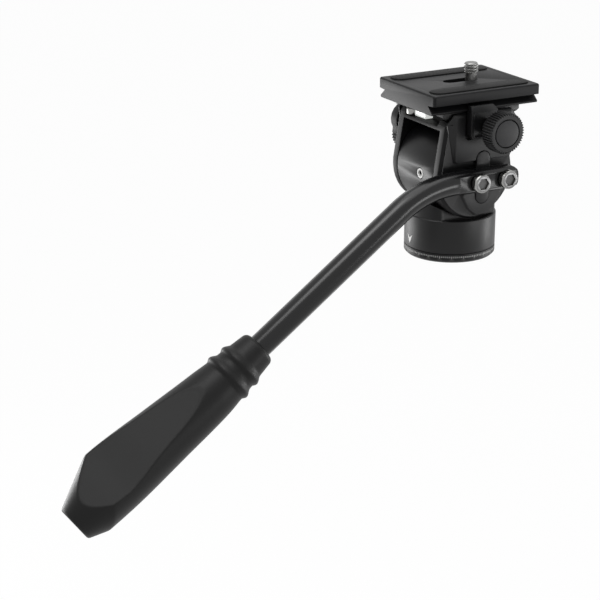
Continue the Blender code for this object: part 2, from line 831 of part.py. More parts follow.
def island_outline(ear, bevel, top_drop):
    """Upper island at one level: its rear edge leans out to an ear near the top."""
    low = tilt_height + island_rise
    high = low + island_height
    return rounded_outline(mirrored_outline([
        (island_half_length - bevel, low + bevel),
        (island_half_length - bevel + ear, high - island_ear_drop),
        (island_half_length - bevel, high - top_drop),
    ]), island_corner, 2)


def shield_outline(bevel):
    """Lower island at one level, narrowing downwards along the round of the cheek."""
    return rounded_outline(mirrored_outline([
        (shield_top_half - bevel, tilt_height - shield_top_drop - bevel),
        (shield_waist_half - bevel, tilt_height - shield_waist_drop),
        (shield_foot_half - bevel, tilt_height - shield_foot_drop + bevel),
    ]), island_corner, 2)


def build_side_plate(side, name):
    """A thin web with two bevelled islands, above and below the channel of the handle."""
    low, high = sorted((side * side_plate_inner, side * side_web_outer))
    web = plate(name, cheek_outline(cheek_chamfer), low, high, "YZ")
    place_piece(web, black_anodised, tilt_pivot, origin)
    middle_x = (side_web_outer + side_plate_outer) / 2
    upper = layered(name + "_upper", [
        (side * side_plate_inner, island_outline(island_ear, -island_foot_spread, 0)),
        (side * side_web_outer, island_outline(island_ear, -island_foot_spread, 0)),
        (side * middle_x, island_outline(island_ear / 3, 0, island_top_bevel / 3)),
        (side * side_plate_outer, island_outline(0, island_side_bevel, island_top_bevel)),
    ])
    lower = layered(name + "_lower", [
        (side * side_plate_inner, shield_outline(0)),
        (side * side_web_outer, shield_outline(0)),
        (side * side_plate_outer, shield_outline(shield_bevel)),
    ])
    for island in (upper, lower):
        place_cutter(island, origin)
        combine(web, island, "UNION")
    low, high = sorted((side * (side_plate_inner - overrun), side * (side_plate_outer + overrun)))
    for place_y, end in handle_screw_places:
        cut_hole(web, name + "_bore_" + end, handle_screw_radius + seat_gap, low, high,
                 (0, place_y, tilt_height), "X", 16)
    return web


def build_right_plate():
    """Right side plate with the seat of the handle key and the room for the clamp jaw."""
    right = build_side_plate(1, "right_side_plate")
    key_place = (0, island_middle, tilt_height - key_drop)
    key_seat = plate("key_seat", stadium(key_half_width + seat_gap, -key_half_height - seat_gap,
                                         key_half_height + seat_gap),
                     side_web_outer, side_plate_outer + overrun, "YZ")
    place_cutter(key_seat, key_place)
    combine(right, key_seat, "DIFFERENCE")
    rear = jaw_rear - jaw_room_rear
    front = jaw_front + jaw_room_side
    floor = jaw_bottom - jaw_room_side
    room = plate("jaw_room", rounded_outline([(rear, floor), (front, floor), (front, plate_top),
                                              (rear, plate_top)], jaw_corner_radius, 3),
                 side_web_outer, side_plate_outer + overrun, "YZ")
    place_cutter(room, origin)
    combine(right, room, "DIFFERENCE")
    cut_hole(right, "side_screw_bore", clamp_screw_radius + seat_gap, cheek_outer, side_plate_outer,
             (0, clamp_axis_y, clamp_axis_height), "X", 16)
    cut_hole(right, "side_pin_bore", guide_pin_radius + seat_gap, cheek_outer, side_plate_outer,
             (0, guide_pin_y, guide_pin_height), "X", 12)
    key = plate("handle_key", stadium(key_half_width, -key_half_height, key_half_height),
                side_web_outer + seat_gap, key_outer, "YZ")
    place_piece(key, black_anodised, tilt_pivot, key_place)


def build_left_plate():
    """Left side plate, kept under the clamp, with the two screws that hold it."""
    left = build_side_plate(-1, "left_side_plate")
    lid = box("left_plate_lid", (-side_plate_outer - overrun, -base_radius, bar_top),
              (overrun - side_plate_inner, base_radius + overrun, plate_top))
    place_cutter(lid, origin)
    combine(left, lid, "DIFFERENCE")
    cut_hole(left, "lock_bore", lock_stud_radius + seat_gap, -side_plate_outer - overrun,
             -cheek_outer, (0, lock_axis_y, lock_axis_height), "X", 12)
    head_low = side_web_outer + seat_gap
    tip = cheek_inner + journal_seat_depth + seat_gap * 2
    for place_y, end in handle_screw_places:
        profile = [
            (0, -tip),
            (handle_screw_radius, -tip),
            (handle_screw_radius, -head_low),
            (handle_head_radius, -head_low),
            (handle_head_radius, -(head_low + left_head_height)),
            (0, -(head_low + left_head_height)),
        ]
        screw = turned("left_plate_screw_" + end, profile, 20, "X")
        place_piece(screw, polished_steel, tilt_pivot, (0, place_y, tilt_height))


def handle_frame(distance):
    """Middle of the straight part at a distance, with its directions along and upward."""
    along = Vector((0, -math.cos(tube_fall_angle), -math.sin(tube_fall_angle)))
    up = Vector((0, -math.sin(tube_fall_angle), math.cos(tube_fall_angle)))
    corner = Vector((tube_x, -tube_corner_y, tilt_height))
    return corner + along * distance, along, up


def tube_path():
    """Middle line of the handle tube: level at the head, one bend, then a straight fall."""
    points = [(tube_front, tilt_height)]
    tangent = tube_bend_radius * math.tan(tube_fall_angle / 2)
    bend_start = tube_corner_y - tangent
    steps = 10
    for step in range(steps + 1):
        angle = tube_fall_angle * step / steps
        y = -bend_start - tube_bend_radius * math.sin(angle)
        z = tilt_height - tube_bend_radius * (1 - math.cos(angle))
        points.append((y, z))
    end, along, up = handle_frame(tube_run)
    points.append((end.y, end.z))
    return points


def build_handle_tube():
    curve = bpy.data.curves.new("handle_tube", "CURVE")
    curve.dimensions = "3D"
    curve.bevel_depth = tube_radius
    curve.bevel_resolution = 4
    curve.use_fill_caps = True
    spline = curve.splines.new("POLY")
    path = tube_path()
    spline.points.add(len(path) - 1)
    for point, (y, z) in zip(spline.points, path):
        point.co = (tube_x, y, z, 1)
    handle = object_from_bmesh("handle_tube", welded_curve(curve), smooth=True)
    place_piece(handle, satin_black, tilt_pivot, origin)

    reach = tube_radius + overrun
    for side, name in ((-1, "inner"), (1, "outer")):
        low, high = sorted((tube_x + side * tube_flat, tube_x + side * reach))
        flat = box("tube_flat_" + name, (low, tube_flat_back, tilt_height - reach),
                   (high, tube_front + overrun, tilt_height + reach))
        place_cutter(flat, origin)
        combine(handle, flat, "DIFFERENCE")
        corner = plate("tube_corner_" + name, nose_outline(side), tube_x - reach, tube_x + reach, "YZ")
        place_cutter(corner, origin)
        combine(handle, corner, "DIFFERENCE")
    for place_y, end in handle_screw_places:
        cut_hole(handle, "handle_bore_" + end, handle_screw_radius + seat_gap, tube_x - reach,
                 tube_x + reach, (0, place_y, tilt_height), "X", 16)


def nose_outline(side):
    """Cutter outline outside the upper (1) or lower (-1) rounded corner of the flat end."""
    centre_y = tube_front - tube_end_corner
    centre_rise = tube_radius - tube_end_corner
    reach = tube_radius + overrun
    outline = [
        (tube_front + overrun, tilt_height + side * centre_rise),
        (tube_front + overrun, tilt_height + side * reach),
        (centre_y, tilt_height + side * reach),
    ]
    steps = 5
    for step in range(steps + 1):
        angle = math.radians(90.0 - 90.0 * step / steps)
        outline.append((centre_y + tube_end_corner * math.cos(angle),
                        tilt_height + side * (centre_rise + tube_end_corner * math.sin(angle))))
    return outline


def build_handle_screws():
    head_low = handle_face + seat_gap
    head_top = head_low + handle_head_height
    tip = cheek_inner + journal_seat_depth + seat_gap * 2
    for place_y, end in handle_screw_places:
        place = (0, place_y, tilt_height)
        profile = [
            (0, head_top),
            (handle_head_radius - handle_head_edge, head_top),
            (handle_head_radius, head_top - handle_head_edge),
            (handle_head_radius, head_low),
            (handle_screw_radius, head_low),
            (handle_screw_radius, tip),
            (0, tip),
        ]
        screw = turned("handle_screw_" + end, profile, 24, "X")
        place_piece(screw, polished_steel, tilt_pivot, place)
        cut_hole(screw, "handle_socket_" + end, handle_socket_radius, head_top - handle_socket_depth,
                 head_top + overrun, place, "X", 6)


def grip_sections():
    """Rings of the grip: distance, radius and rise of the ring's middle above the tube's."""
    swell_radius = (grip_swell_top + grip_swell_bottom) / 2
    swell_rise = (grip_swell_top - grip_swell_bottom) / 2
    collar_shares = [
        (0.000, grip_mouth_radius),
        (0.012, (grip_mouth_radius + grip_collar_radius) / 2),
        (0.066, grip_collar_radius),
        (0.085, (grip_collar_radius + grip_ridge_radius) / 2),
        (0.098, grip_ridge_radius),
        (0.108, grip_ridge_radius),
        (0.118, (grip_ridge_radius + grip_valley_radius) / 2),
        (0.130, grip_valley_radius),
        (0.148, (grip_valley_radius + grip_second_ridge_radius) / 2),
        (0.162, grip_second_ridge_radius),
        (0.174, grip_second_ridge_radius),
        (0.186, grip_neck_radius),
        (0.200, grip_neck_radius),
    ]
    sections = [(tube_bare_length + share * grip_length, radius, 0.0) for share, radius in collar_shares]
    body_shares = [
        (0.32, 0.185, 0.06),
        (0.44, 0.42, 0.28),
        (0.60, 0.71, 0.60),
        (0.755, 1.0, 1.0),
        (1.0, 1.02, 1.0),
    ]
    for share, radius_share, rise_share in body_shares:
        radius = grip_neck_radius + (swell_radius - grip_neck_radius) * radius_share
        sections.append((tube_bare_length + share * grip_length, radius, swell_rise * rise_share))
    return sections


def loft_rings(name, sections, segments):
    """Skin of round rings along the straight part of the handle, with flat ends."""
    bm = bmesh.new()
    rings = []
    for distance, radius, rise in sections:
        middle, along, up = handle_frame(distance)
        side = up.cross(along)
        ring = []
        for index in range(segments):
            angle = 2 * math.pi * index / segments
            spoke = side * math.cos(angle) + up * math.sin(angle)
            ring.append(bm.verts.new(middle + up * rise + spoke * radius))
        rings.append(ring)
    for first, second in zip(rings, rings[1:]):
        for index in range(segments):
            after = (index + 1) % segments
            bm.faces.new((first[index], first[after], second[after], second[index]))
    bm.faces.new(rings[0])
    bm.faces.new(rings[-1])
    return object_from_bmesh(name, bm, smooth=True)


def facet_cutter(name, side):
    """Block outside one of the two long flats, whose depth follows the swell of the grip."""
    depth_shares = [(0.20, 0.0), (0.26, 0.05), (0.45, 0.75), (0.60, 1.0), (0.80, 1.0), (0.88, 0.55),
                    (0.95, -0.3), (1.02, -1.6)]
    reach = grip_swell_top * 2
    bm = bmesh.new()
    rows = []
    for share, depth_share in depth_shares:
        depth = grip_facet_narrow + (grip_facet_wide - grip_facet_narrow) * depth_share
        middle, along, up = handle_frame(tube_bare_length + share * grip_length)
        outward = Vector((side * math.cos(grip_facet_angle), 0, 0)) + up * math.sin(grip_facet_angle)
        across = along.cross(outward)
        rows.append([
            bm.verts.new(middle + outward * depth - across * reach),
            bm.verts.new(middle + outward * depth + across * reach),
            bm.verts.new(middle + outward * reach + across * reach),
            bm.verts.new(middle + outward * reach - across * reach),
        ])
    for first, second in zip(rows, rows[1:]):
        for index in range(4):
            after = (index + 1) % 4
            bm.faces.new((first[index], first[after], second[after], second[index]))
    bm.faces.new(rows[0])
    bm.faces.new(rows[-1])
    return object_from_bmesh(name, bm)


def build_grip():
    """Flared grip: ringed collar, swelling body, two long flats and a tapered end."""
    grip = loft_rings("handle_grip", grip_sections(), 32)
    place_piece(grip, black_rubber, tilt_pivot, origin)
    end_shares = [(0.745, 0.0), (0.785, 0.03), (0.810, 0.10), (1.0, 1.0)]
    envelope_sections = [(tube_bare_length - overrun, grip_swell_top + overrun, 0.0)]
    for share, taper_share in end_shares:
        radius = grip_swell_top - (grip_swell_top - grip_end_radius) * taper_share
        envelope_sections.append((tube_bare_length + share * grip_length, radius, 0.0))
    envelope = loft_rings("grip_envelope", envelope_sections, 32)
    place_cutter(envelope, origin)
    combine(grip, envelope, "INTERSECT")
    for side, name in ((-1, "left"), (1, "right")):
        facet = facet_cutter("grip_facet_" + name, side)
        place_cutter(facet, origin)
        combine(grip, facet, "DIFFERENCE")
    bore_radius = tube_radius + seat_gap
    bore = loft_rings("grip_bore", [(tube_bare_length - overrun, bore_radius, 0.0),
                                    (tube_run + seat_gap, bore_radius, 0.0)], 20)
    place_cutter(bore, origin)
    combine(grip, bore, "DIFFERENCE")


def dovetail_jaw(side):
    """Points of a jaw's inner face, from under the plate's flange up over it."""
    return [
        (side * (flange_half_width + seat_gap), plate_bottom - seat_gap),
        (side * (flange_half_width + seat_gap), flange_high + seat_gap / 2),
        (side * (neck_half_width + flange_lip * jaw_hook_share), jaw_lip_top),
    ]


def build_receiver():
    hook = dovetail_jaw(-1)
    lip = jaw_lip_top - jaw_lip_drop
    outline = [
        (-receiver_left + receiver_end_bevel, receiver_bottom),
        (receiver_right - receiver_end_bevel / 2, receiver_bottom),
        (receiver_right, receiver_bottom + receiver_end_bevel / 2),
        (receiver_right, receiver_top),
        (-flange_half_width - seat_gap, receiver_top),
        hook[1],
        hook[2],
        (-receiver_left + jaw_lip_lean, jaw_lip_top),
        (-receiver_left, lip),
        (-receiver_left, receiver_bottom + receiver_end_bevel),
    ]
    receiver = plate("clamp_receiver", outline, -receiver_rear, receiver_front, "XZ")
    place_piece(receiver, black_anodised, tilt_pivot, origin)
    reach = receiver_left + overrun
    for end, y, name in ((1, receiver_front, "front"), (-1, -receiver_rear, "rear")):
        slope = [
            (y + end * overrun, receiver_bottom - overrun),
            (y - end * receiver_end_bevel * 1.5, receiver_bottom - overrun),
            (y - end * receiver_end_bevel * 1.5, receiver_bottom),
            (y, receiver_bottom + receiver_end_bevel),
            (y + end * overrun, receiver_bottom + receiver_end_bevel),
        ]
        under = plate("receiver_bevel_" + name, slope, -reach, reach, "YZ")
        place_cutter(under, origin)
        combine(receiver, under, "DIFFERENCE")
    for x, y, name in receiver_screw_places:
        cut_hole(receiver, "receiver_thread_" + name, receiver_screw_radius + seat_gap,
                 receiver_bottom - overrun, receiver_bottom + receiver_thread_depth, (x, y, 0), "Z", 12)
    x, y, z = vial_place
    half = vial_length / 2 + seat_gap
    room = vial_radius + seat_gap
    groove = box("vial_groove", (x - half, y - room, receiver_bottom - overrun),
                 (x + half, y + room, z + room))
    place_cutter(groove, origin)
    combine(receiver, groove, "DIFFERENCE")


def build_receiver_screws():
    """Screws of the clamp: one head shows in the slot, three sit under the bar."""
    tip = receiver_bottom + receiver_thread_depth - seat_gap
    for x, y, name in receiver_screw_places:
        head_low, head_top = window_top, window_top + receiver_screw_head_height
        if name == "rear_left":
            head_low, head_top = pocket_floor + seat_gap, bar_top
        profile = [
            (0, tip),
            (receiver_screw_radius, tip),
            (receiver_screw_radius, head_top),
            (receiver_screw_head_radius, head_top),
            (receiver_screw_head_radius, head_low),
            (0, head_low),
        ]
        screw = turned("receiver_screw_" + name, profile, 16)
        place_piece(screw, polished_steel, tilt_pivot, (x, y, 0))


def build_vial():
    vial = cylinder("level_vial", vial_radius, -vial_length / 2, vial_length / 2, 20, "X")
    place_piece(vial, pale_acrylic, tilt_pivot, vial_place)


def build_jaw():
    """Sliding jaw: a hook over the plate's flange above a face sunk inside its rim."""
    hook = dovetail_jaw(1)
    lip = jaw_lip_top - jaw_lip_drop
    outline = [
        (jaw_inner_face, jaw_bottom),
        (jaw_inner_face, plate_bottom - seat_gap),
        hook[0],
        hook[1],
        hook[2],
        (jaw_outer_face - jaw_lip_lean, jaw_lip_top),
        (jaw_outer_face, lip),
        (jaw_outer_face, jaw_bottom),
    ]
    jaw = plate("clamp_jaw", outline, jaw_rear, jaw_front, "XZ")
    place_piece(jaw, black_anodised, jaw_pivot, origin)
    low, high = neck_half_width, jaw_outer_face + overrun
    for end, edge, name in ((-1, jaw_rear, "rear"), (1, jaw_front, "front")):
        outline = [
            (edge + end * overrun, jaw_bottom - overrun),
            (edge + end * overrun, jaw_bottom + jaw_corner_radius),
        ]
        steps = 4
        for step in range(steps + 1):
            angle = math.radians(90.0 * step / steps)
            outline.append((edge - end * jaw_corner_radius * (1 - math.cos(angle)),
                            jaw_bottom + jaw_corner_radius * (1 - math.sin(angle))))
        outline.append((edge - end * jaw_corner_radius, jaw_bottom - overrun))
        corner = plate("jaw_corner_" + name, outline, low, high, "YZ")
        place_cutter(corner, origin)
        combine(jaw, corner, "DIFFERENCE")
    slope = jaw_front_chamfer_drop / jaw_front_chamfer_length
    top_corner = plate("jaw_top_corner", [
        (jaw_front - jaw_front_chamfer_length - overrun, jaw_lip_top + overrun * slope),
        (jaw_front + overrun, jaw_lip_top - jaw_front_chamfer_drop - overrun * slope),
        (jaw_front + overrun, jaw_lip_top + overrun * slope),
    ], low, high, "YZ")
    place_cutter(top_corner, origin)
    combine(jaw, top_corner, "DIFFERENCE")
    sunk = plate("jaw_face", rounded_outline([
        (jaw_rear + jaw_rim, jaw_bottom + jaw_foot_rim),
        (jaw_front + overrun, jaw_bottom + jaw_foot_rim),
        (jaw_front + overrun, lip),
        (jaw_rear + jaw_rim, lip),
    ], jaw_foot_rim), jaw_outer_face - jaw_recess, high, "YZ")
    place_cutter(sunk, origin)
    combine(jaw, sunk, "DIFFERENCE")
    cut_hole(jaw, "jaw_screw_bore", clamp_screw_radius + seat_gap, low, high,
             (0, clamp_axis_y, clamp_axis_height), "X", 16)
    pin_place = (0, guide_pin_y, guide_pin_height)
    cut_hole(jaw, "jaw_pin_bore", guide_pin_radius + seat_gap, low, guide_pin_high + seat_gap,
             pin_place, "X", 12)
    pin = cylinder("jaw_guide_pin", guide_pin_radius, guide_pin_low, guide_pin_high, 12, "X")
    place_piece(pin, polished_steel, jaw_pivot, pin_place)


def build_knob():
    """Knob with a ribbed rim and a stem down to the jaw, its cap, and the clamp screw."""
    outline = []
    pitch = 2 * math.pi / knob_rib_count
    inner = knob_radius - knob_rib_depth
    rib_shares = ((0.0, inner), (0.22, knob_radius), (0.62, knob_radius), (0.84, inner))
    for index in range(knob_rib_count):
        for share, radius in rib_shares:
            angle = pitch * (index + share)
            outline.append((radius * math.cos(angle), radius * math.sin(angle)))
    axis_place = (0, clamp_axis_y, clamp_axis_height)
    knob = plate("clamp_knob", outline, knob_inner_face, knob_outer_face, "YZ")
    place_piece(knob, matte_black, knob_pivot, axis_place)
    stem_low = jaw_outer_face - jaw_recess + seat_gap
    stem = cylinder("knob_stem", clamp_stem_radius, stem_low, knob_inner_face + overrun, 20, "X")
    place_cutter(stem, axis_place)
    combine(knob, stem, "UNION")
    edge = turned("knob_front_edge", [
        (knob_radius - knob_edge, knob_outer_face + overrun),
        (knob_radius + overrun, knob_outer_face + overrun),
        (knob_radius + overrun, knob_outer_face - knob_edge - overrun),
        (knob_radius - knob_edge, knob_outer_face),
    ], 40, "X", closed=True)
    place_cutter(edge, axis_place)
    combine(knob, edge, "DIFFERENCE")
    cut_hole(knob, "cap_seat", cap_radius + seat_gap, knob_outer_face - cap_depth - seat_gap,
             knob_outer_face + overrun, axis_place, "X", 32)
    cut_hole(knob, "knob_bore", clamp_screw_radius + seat_gap, stem_low - overrun,
             knob_outer_face - knob_web, axis_place, "X", 16)
    cap = cylinder("clamp_knob_cap", cap_radius, knob_outer_face - cap_depth, knob_outer_face, 32, "X")
    place_piece(cap, matte_black, knob_pivot, axis_place)
    screw = cylinder("clamp_screw", clamp_screw_radius, clamp_screw_low, clamp_screw_high, 16, "X")
    place_piece(screw, polished_steel, knob_pivot, axis_place)


def build_quick_plate():
    """Dovetailed plate with a slot for the camera screw and recesses for two pads."""
    half = [
        (plate_half_width, plate_top),
        (plate_half_width, slab_bottom),
        (neck_half_width, neck_height),
        (flange_half_width, flange_high),
        (flange_half_width, flange_low),
        (flange_half_width - flange_foot_inset, plate_bottom),
    ]
    outline = half + [(-x, z) for x, z in reversed(half)]
    body = plate("quick_plate", outline, plate_rear, plate_front, "XZ")
    side = plate_half_width + seat_gap
    plan = rounded_outline([(-side, plate_rear), (side, plate_rear), (side, plate_front),
                            (-side, plate_front)], plate_corner, 4)
    corners = plate("plate_plan", plan, plate_bottom - overrun, plate_top + overrun, "XY")
    place_cutter(corners, origin)
    combine(body, corners, "INTERSECT")
    place_piece(body, black_anodised, plate_pivot, origin)
    slot_low = camera_screw_y - camera_slot_travel - camera_slot_half_width - seat_gap
    slot_high = camera_screw_y + camera_slot_half_width
    slot = plate("plate_slot", stadium(camera_slot_half_width, slot_low, slot_high),
                 plate_bottom - overrun, plate_top + overrun, "XY")
    place_cutter(slot, origin)
    combine(body, slot, "DIFFERENCE")
    channel = box("plate_channel",
                  (-channel_half_width, plate_rear + channel_end_margin, plate_bottom - overrun),
                  (channel_half_width, plate_front - channel_end_margin, plate_web_bottom))
    place_cutter(channel, origin)
    combine(body, channel, "DIFFERENCE")
    build_pads(body)
    for end, x, name in ((plate_rear + stop_screw_inset, -stop_screw_x, "rear"),
                         (plate_front - stop_screw_inset, stop_screw_x, "front")):
        place = (x, end, 0)
        cut_hole(body, "stop_thread_" + name, stop_screw_radius + seat_gap, plate_bottom - overrun,
                 plate_bottom + stop_screw_depth, place, "Z", 12)
        screw = cylinder("plate_stop_screw_" + name, stop_screw_radius, plate_bottom - stop_screw_drop,
                         plate_bottom + stop_screw_depth - seat_gap, 12)
        place_piece(screw, polished_steel, plate_pivot, place)


def build_pads(body):
    """Two long rubber pads, each in its own recess of the plate."""
    pad_low = plate_rear + pad_margin
    pad_high = plate_front - pad_margin
    for side, name in ((-1, "left"), (1, "right")):
        place = (side * pad_centre_x, 0, 0)
        recess = plate("pad_recess_" + name, stadium(pad_half_width, pad_low, pad_high),
                       pad_recess_floor, plate_top + overrun, "XY")
        place_cutter(recess, place)
        combine(body, recess, "DIFFERENCE")
        pad = plate("plate_pad_" + name,
                    stadium(pad_half_width - seat_gap, pad_low + seat_gap, pad_high - seat_gap),
                    pad_recess_floor + seat_gap, plate_top + pad_proud, "XY")
        place_piece(pad, black_rubber, plate_pivot, place)


def build_camera_screw():
    """Camera screw with a coin slot in its head, and the washer between it and the plate."""
    place = (0, camera_screw_y, 0)
    washer_high = plate_web_bottom - seat_gap
    washer_low = washer_high - camera_washer_thickness
    washer = tube("camera_screw_washer", camera_washer_radius, camera_neck_radius + seat_gap,
                  washer_low, washer_high, 24)
    place_piece(washer, natural_nylon, screw_slide_pivot, place)
    head_top = washer_low - seat_gap
    head_low = head_top - camera_head_height
    neck_top = plate_top + camera_neck_rise
    screw_top = plate_top + camera_screw_rise
    profile = [
        (0, screw_top),
        (camera_thread_radius - camera_tip_chamfer, screw_top),
        (camera_thread_radius, screw_top - camera_tip_chamfer),
        (camera_thread_radius, neck_top),
        (camera_neck_radius, neck_top),
        (camera_neck_radius, head_top),
        (camera_head_radius, head_top),
        (camera_head_radius, head_low),
        (0, head_low),
    ]
    screw = turned("camera_screw", profile, 24)
    place_piece(screw, polished_steel, screw_pivot, place)
    reach = camera_head_radius + overrun
    slot = box("coin_slot", (-reach, -camera_coin_slot / 2, head_low - overrun),
               (reach, camera_coin_slot / 2, head_low + camera_coin_depth))
    place_cutter(slot, place)
    combine(screw, slot, "DIFFERENCE")


def lock_outline():
    """Two round lobes in one line, the lower one ribbed on both sides for the fingers."""
    outline = []
    steps = 14
    for step in range(steps + 1):
        angle = -lock_waist_angle + (math.pi + 2 * lock_waist_angle) * step / steps
        outline.append((lock_upper_radius * math.cos(angle),
                        lock_upper_rise + lock_upper_radius * math.sin(angle)))
    inner = lock_lower_radius - lock_rib_depth
    rib_shares = ((0.0, lock_lower_radius), (0.45, lock_lower_radius), (0.55, inner), (0.90, inner))
    lower = []
    for index in range(lock_rib_count):
        for share, radius in rib_shares:
            lower.append((lock_rib_start + lock_rib_pitch * (index + share), radius))
    rib_end = lock_rib_start + lock_rib_pitch * lock_rib_count
    middle = math.radians(270.0)
    steps = 4
    for step in range(steps):
        lower.append((rib_end + (middle - rib_end) * step / steps, lock_lower_radius))
    lower.append((middle, lock_lower_radius))
    lower += [(2 * middle - angle, radius) for angle, radius in reversed(lower[:-1])]
    for angle, radius in lower:
        outline.append((radius * math.cos(angle), radius * math.sin(angle) - lock_lower_drop))
    return outline


def build_lock():
    """Lock knob on its stud, which presses the brake shoe against the end of the drum."""
    place = (-lock_inner_face, lock_axis_y, lock_axis_height)
    knob = plate("lock_knob", lock_outline(), -lock_knob_thickness, 0, "YZ")
    add_bevel(knob, lock_edge, 1, 60.0)
    place_piece(knob, satin_black, lock_pivot, place)
    cut_hole(knob, "lock_knob_bore", lock_stud_radius + seat_gap, -lock_knob_thickness - overrun, overrun,
             place, "X", 16)
    cut_hole(knob, "lock_head_seat", lock_stud_head_radius + seat_gap, -lock_knob_thickness - overrun,
             lock_stud_head_height - lock_knob_thickness, place, "X", 20)
    shoe_high = -drum_half_length - seat_gap / 2
    shoe_low = shoe_high - brake_shoe_length
    tip = shoe_low - seat_gap / 2 + lock_inner_face
    head_high = lock_stud_head_height - lock_knob_thickness - seat_gap
    head_low = -lock_knob_thickness
    profile = [
        (0, tip),
        (lock_stud_radius, tip),
        (lock_stud_radius, head_high),
        (lock_stud_head_radius, head_high),
        (lock_stud_head_radius, head_low),
        (0, head_low),
    ]
    stud = turned("lock_stud", profile, 16, "X")
    place_piece(stud, polished_steel, lock_pivot, place)
    shoe = cylinder("brake_shoe", brake_shoe_radius, shoe_low, shoe_high, 12, "X")
    place_piece(shoe, brass, tilt_pivot, (0, lock_axis_y, lock_axis_height))


build_scale_ring()
build_pan_joint()
build_housing()
build_drum()
build_drum_ends()
build_rotor()
build_bracket()
build_right_plate()
build_left_plate()
build_handle_tube()
build_handle_screws()
build_grip()
build_receiver()
build_receiver_screws()
build_vial()
build_jaw()
build_knob()
build_quick_plate()
build_camera_screw()
build_lock()

bpy.context.view_layer.update()
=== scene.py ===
import json
import math

import bmesh
import bpy
from mathutils import Matrix, Vector


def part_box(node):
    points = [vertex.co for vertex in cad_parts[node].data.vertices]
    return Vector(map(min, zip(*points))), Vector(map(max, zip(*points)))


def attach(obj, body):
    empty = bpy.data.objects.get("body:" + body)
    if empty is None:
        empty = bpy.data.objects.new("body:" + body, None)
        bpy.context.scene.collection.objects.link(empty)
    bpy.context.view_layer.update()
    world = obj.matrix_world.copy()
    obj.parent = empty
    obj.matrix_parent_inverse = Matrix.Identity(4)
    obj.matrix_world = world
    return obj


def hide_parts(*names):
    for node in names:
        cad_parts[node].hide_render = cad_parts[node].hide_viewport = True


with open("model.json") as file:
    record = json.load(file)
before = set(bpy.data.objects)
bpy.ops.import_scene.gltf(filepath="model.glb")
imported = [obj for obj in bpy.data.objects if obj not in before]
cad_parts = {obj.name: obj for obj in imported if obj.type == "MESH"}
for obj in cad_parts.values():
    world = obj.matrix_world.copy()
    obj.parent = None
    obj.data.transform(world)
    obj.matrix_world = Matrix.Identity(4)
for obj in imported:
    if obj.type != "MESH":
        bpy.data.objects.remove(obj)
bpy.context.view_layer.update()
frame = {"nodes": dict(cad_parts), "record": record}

# Fluid video head with a pan bar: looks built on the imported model, in metres, +Z up.
# Sizes in the pieces' dictionaries are millimetres, and angles are degrees.
nodes = frame["nodes"]
scene = bpy.context.scene
scene.view_settings.view_transform = "Standard"
print("frame loaded:", len(nodes), "nodes")


# Small helpers

def linear(hexColour):
    # sRGB hex to the linear colour that the shaders want
    shares = [int(hexColour[i:i + 2], 16) / 255 for i in (1, 3, 5)]
    return [s / 12.92 if s <= 0.04045 else ((s + 0.055) / 1.055) ** 2.4 for s in shares] + [1.0]


def addNode(tree, kind, settings=None, links=None):
    # a key that is a number or starts with a capital is a socket, any other is the node's own
    node = tree.nodes.new(kind)
    for key, value in (settings or {}).items():
        if isinstance(key, int) or key[0].isupper():
            node.inputs[key].default_value = value
        else:
            setattr(node, key, value)
    for key, source in (links or {}).items():
        tree.links.new(source, node.inputs[key])
    return node


def emptyMaterial(name):
    material = bpy.data.materials.new(name)
    material.use_nodes = True
    material.node_tree.nodes.clear()
    return material, material.node_tree


def newObject(name, data):
    piece = bpy.data.objects.new(name, data)
    scene.collection.objects.link(piece)
    return piece


def shapeToObject(shape, name):
    mesh = bpy.data.meshes.new(name)
    shape.to_mesh(mesh)
    shape.free()
    return newObject(name, mesh)


def boxShape(size, middle):
    shape = bmesh.new()
    bmesh.ops.create_cube(shape, size=1.0)
    bmesh.ops.scale(shape, vec=size, verts=shape.verts)
    bmesh.ops.translate(shape, vec=middle, verts=shape.verts)
    return shape


def plainMesh(piece):
    # bake the modifiers and the placement into the mesh, so the object rests at the origin
    bpy.context.view_layer.update()
    evaluated = piece.evaluated_get(bpy.context.evaluated_depsgraph_get())
    mesh = bpy.data.meshes.new_from_object(evaluated)
    mesh.transform(piece.matrix_world)
    name = piece.name
    finished = newObject(name + "_mesh", mesh)
    bpy.data.objects.remove(piece)
    finished.name = name
    return finished


def limited(share):
    return min(max(share, 0.0), 1.0)


def bodyOf(nodeName):
    bodies = frame["record"]["behaviour"]["bodies"]
    return next(body for body, members in bodies.items() if nodeName in members)


def slotOf(nodeName):
    return next(s["material_slot"] for s in frame["record"]["subparts"] if s["node"] == nodeName)


def middleOf(nodeName):
    low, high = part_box(nodeName)
    return (low + high) / 2


def setMaterials(piece, *materials):
    piece.data.materials.clear()
    for material in materials:
        piece.data.materials.append(material)


def finishPiece(piece, nodeName, material=None, stands=True):
    # hand a finished piece over: one that comes without a material has its own two already
    if material:
        setMaterials(piece, material)
    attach(piece, bodyOf(nodeName))
    if stands:
        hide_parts(nodeName)


# Camera at the photograph's place, in metres, with its lens in millimetres
cameraSetup = {
    "place": (0.64882, -0.43042, 0.24987), "azimuth": 61.30, "elevation": 19.43,
    "lens": 110.36, "sensor": 36.0, "clip": (0.01, 50.0),
}


def makeCamera(setup):
    azimuth, elevation = math.radians(setup["azimuth"]), math.radians(setup["elevation"])
    level = math.cos(elevation)
    back = Vector((math.sin(azimuth) * level, -math.cos(azimuth) * level, math.sin(elevation)))
    data = bpy.data.cameras.new("photoCamera")
    data.lens = setup["lens"]
    data.sensor_width = setup["sensor"]
    data.clip_start, data.clip_end = setup["clip"]
    camera = newObject("photoCamera", data)
    camera.location = setup["place"]
    camera.rotation_mode = "QUATERNION"
    camera.rotation_quaternion = (-back).to_track_quat("-Z", "Y")
    scene.camera = camera


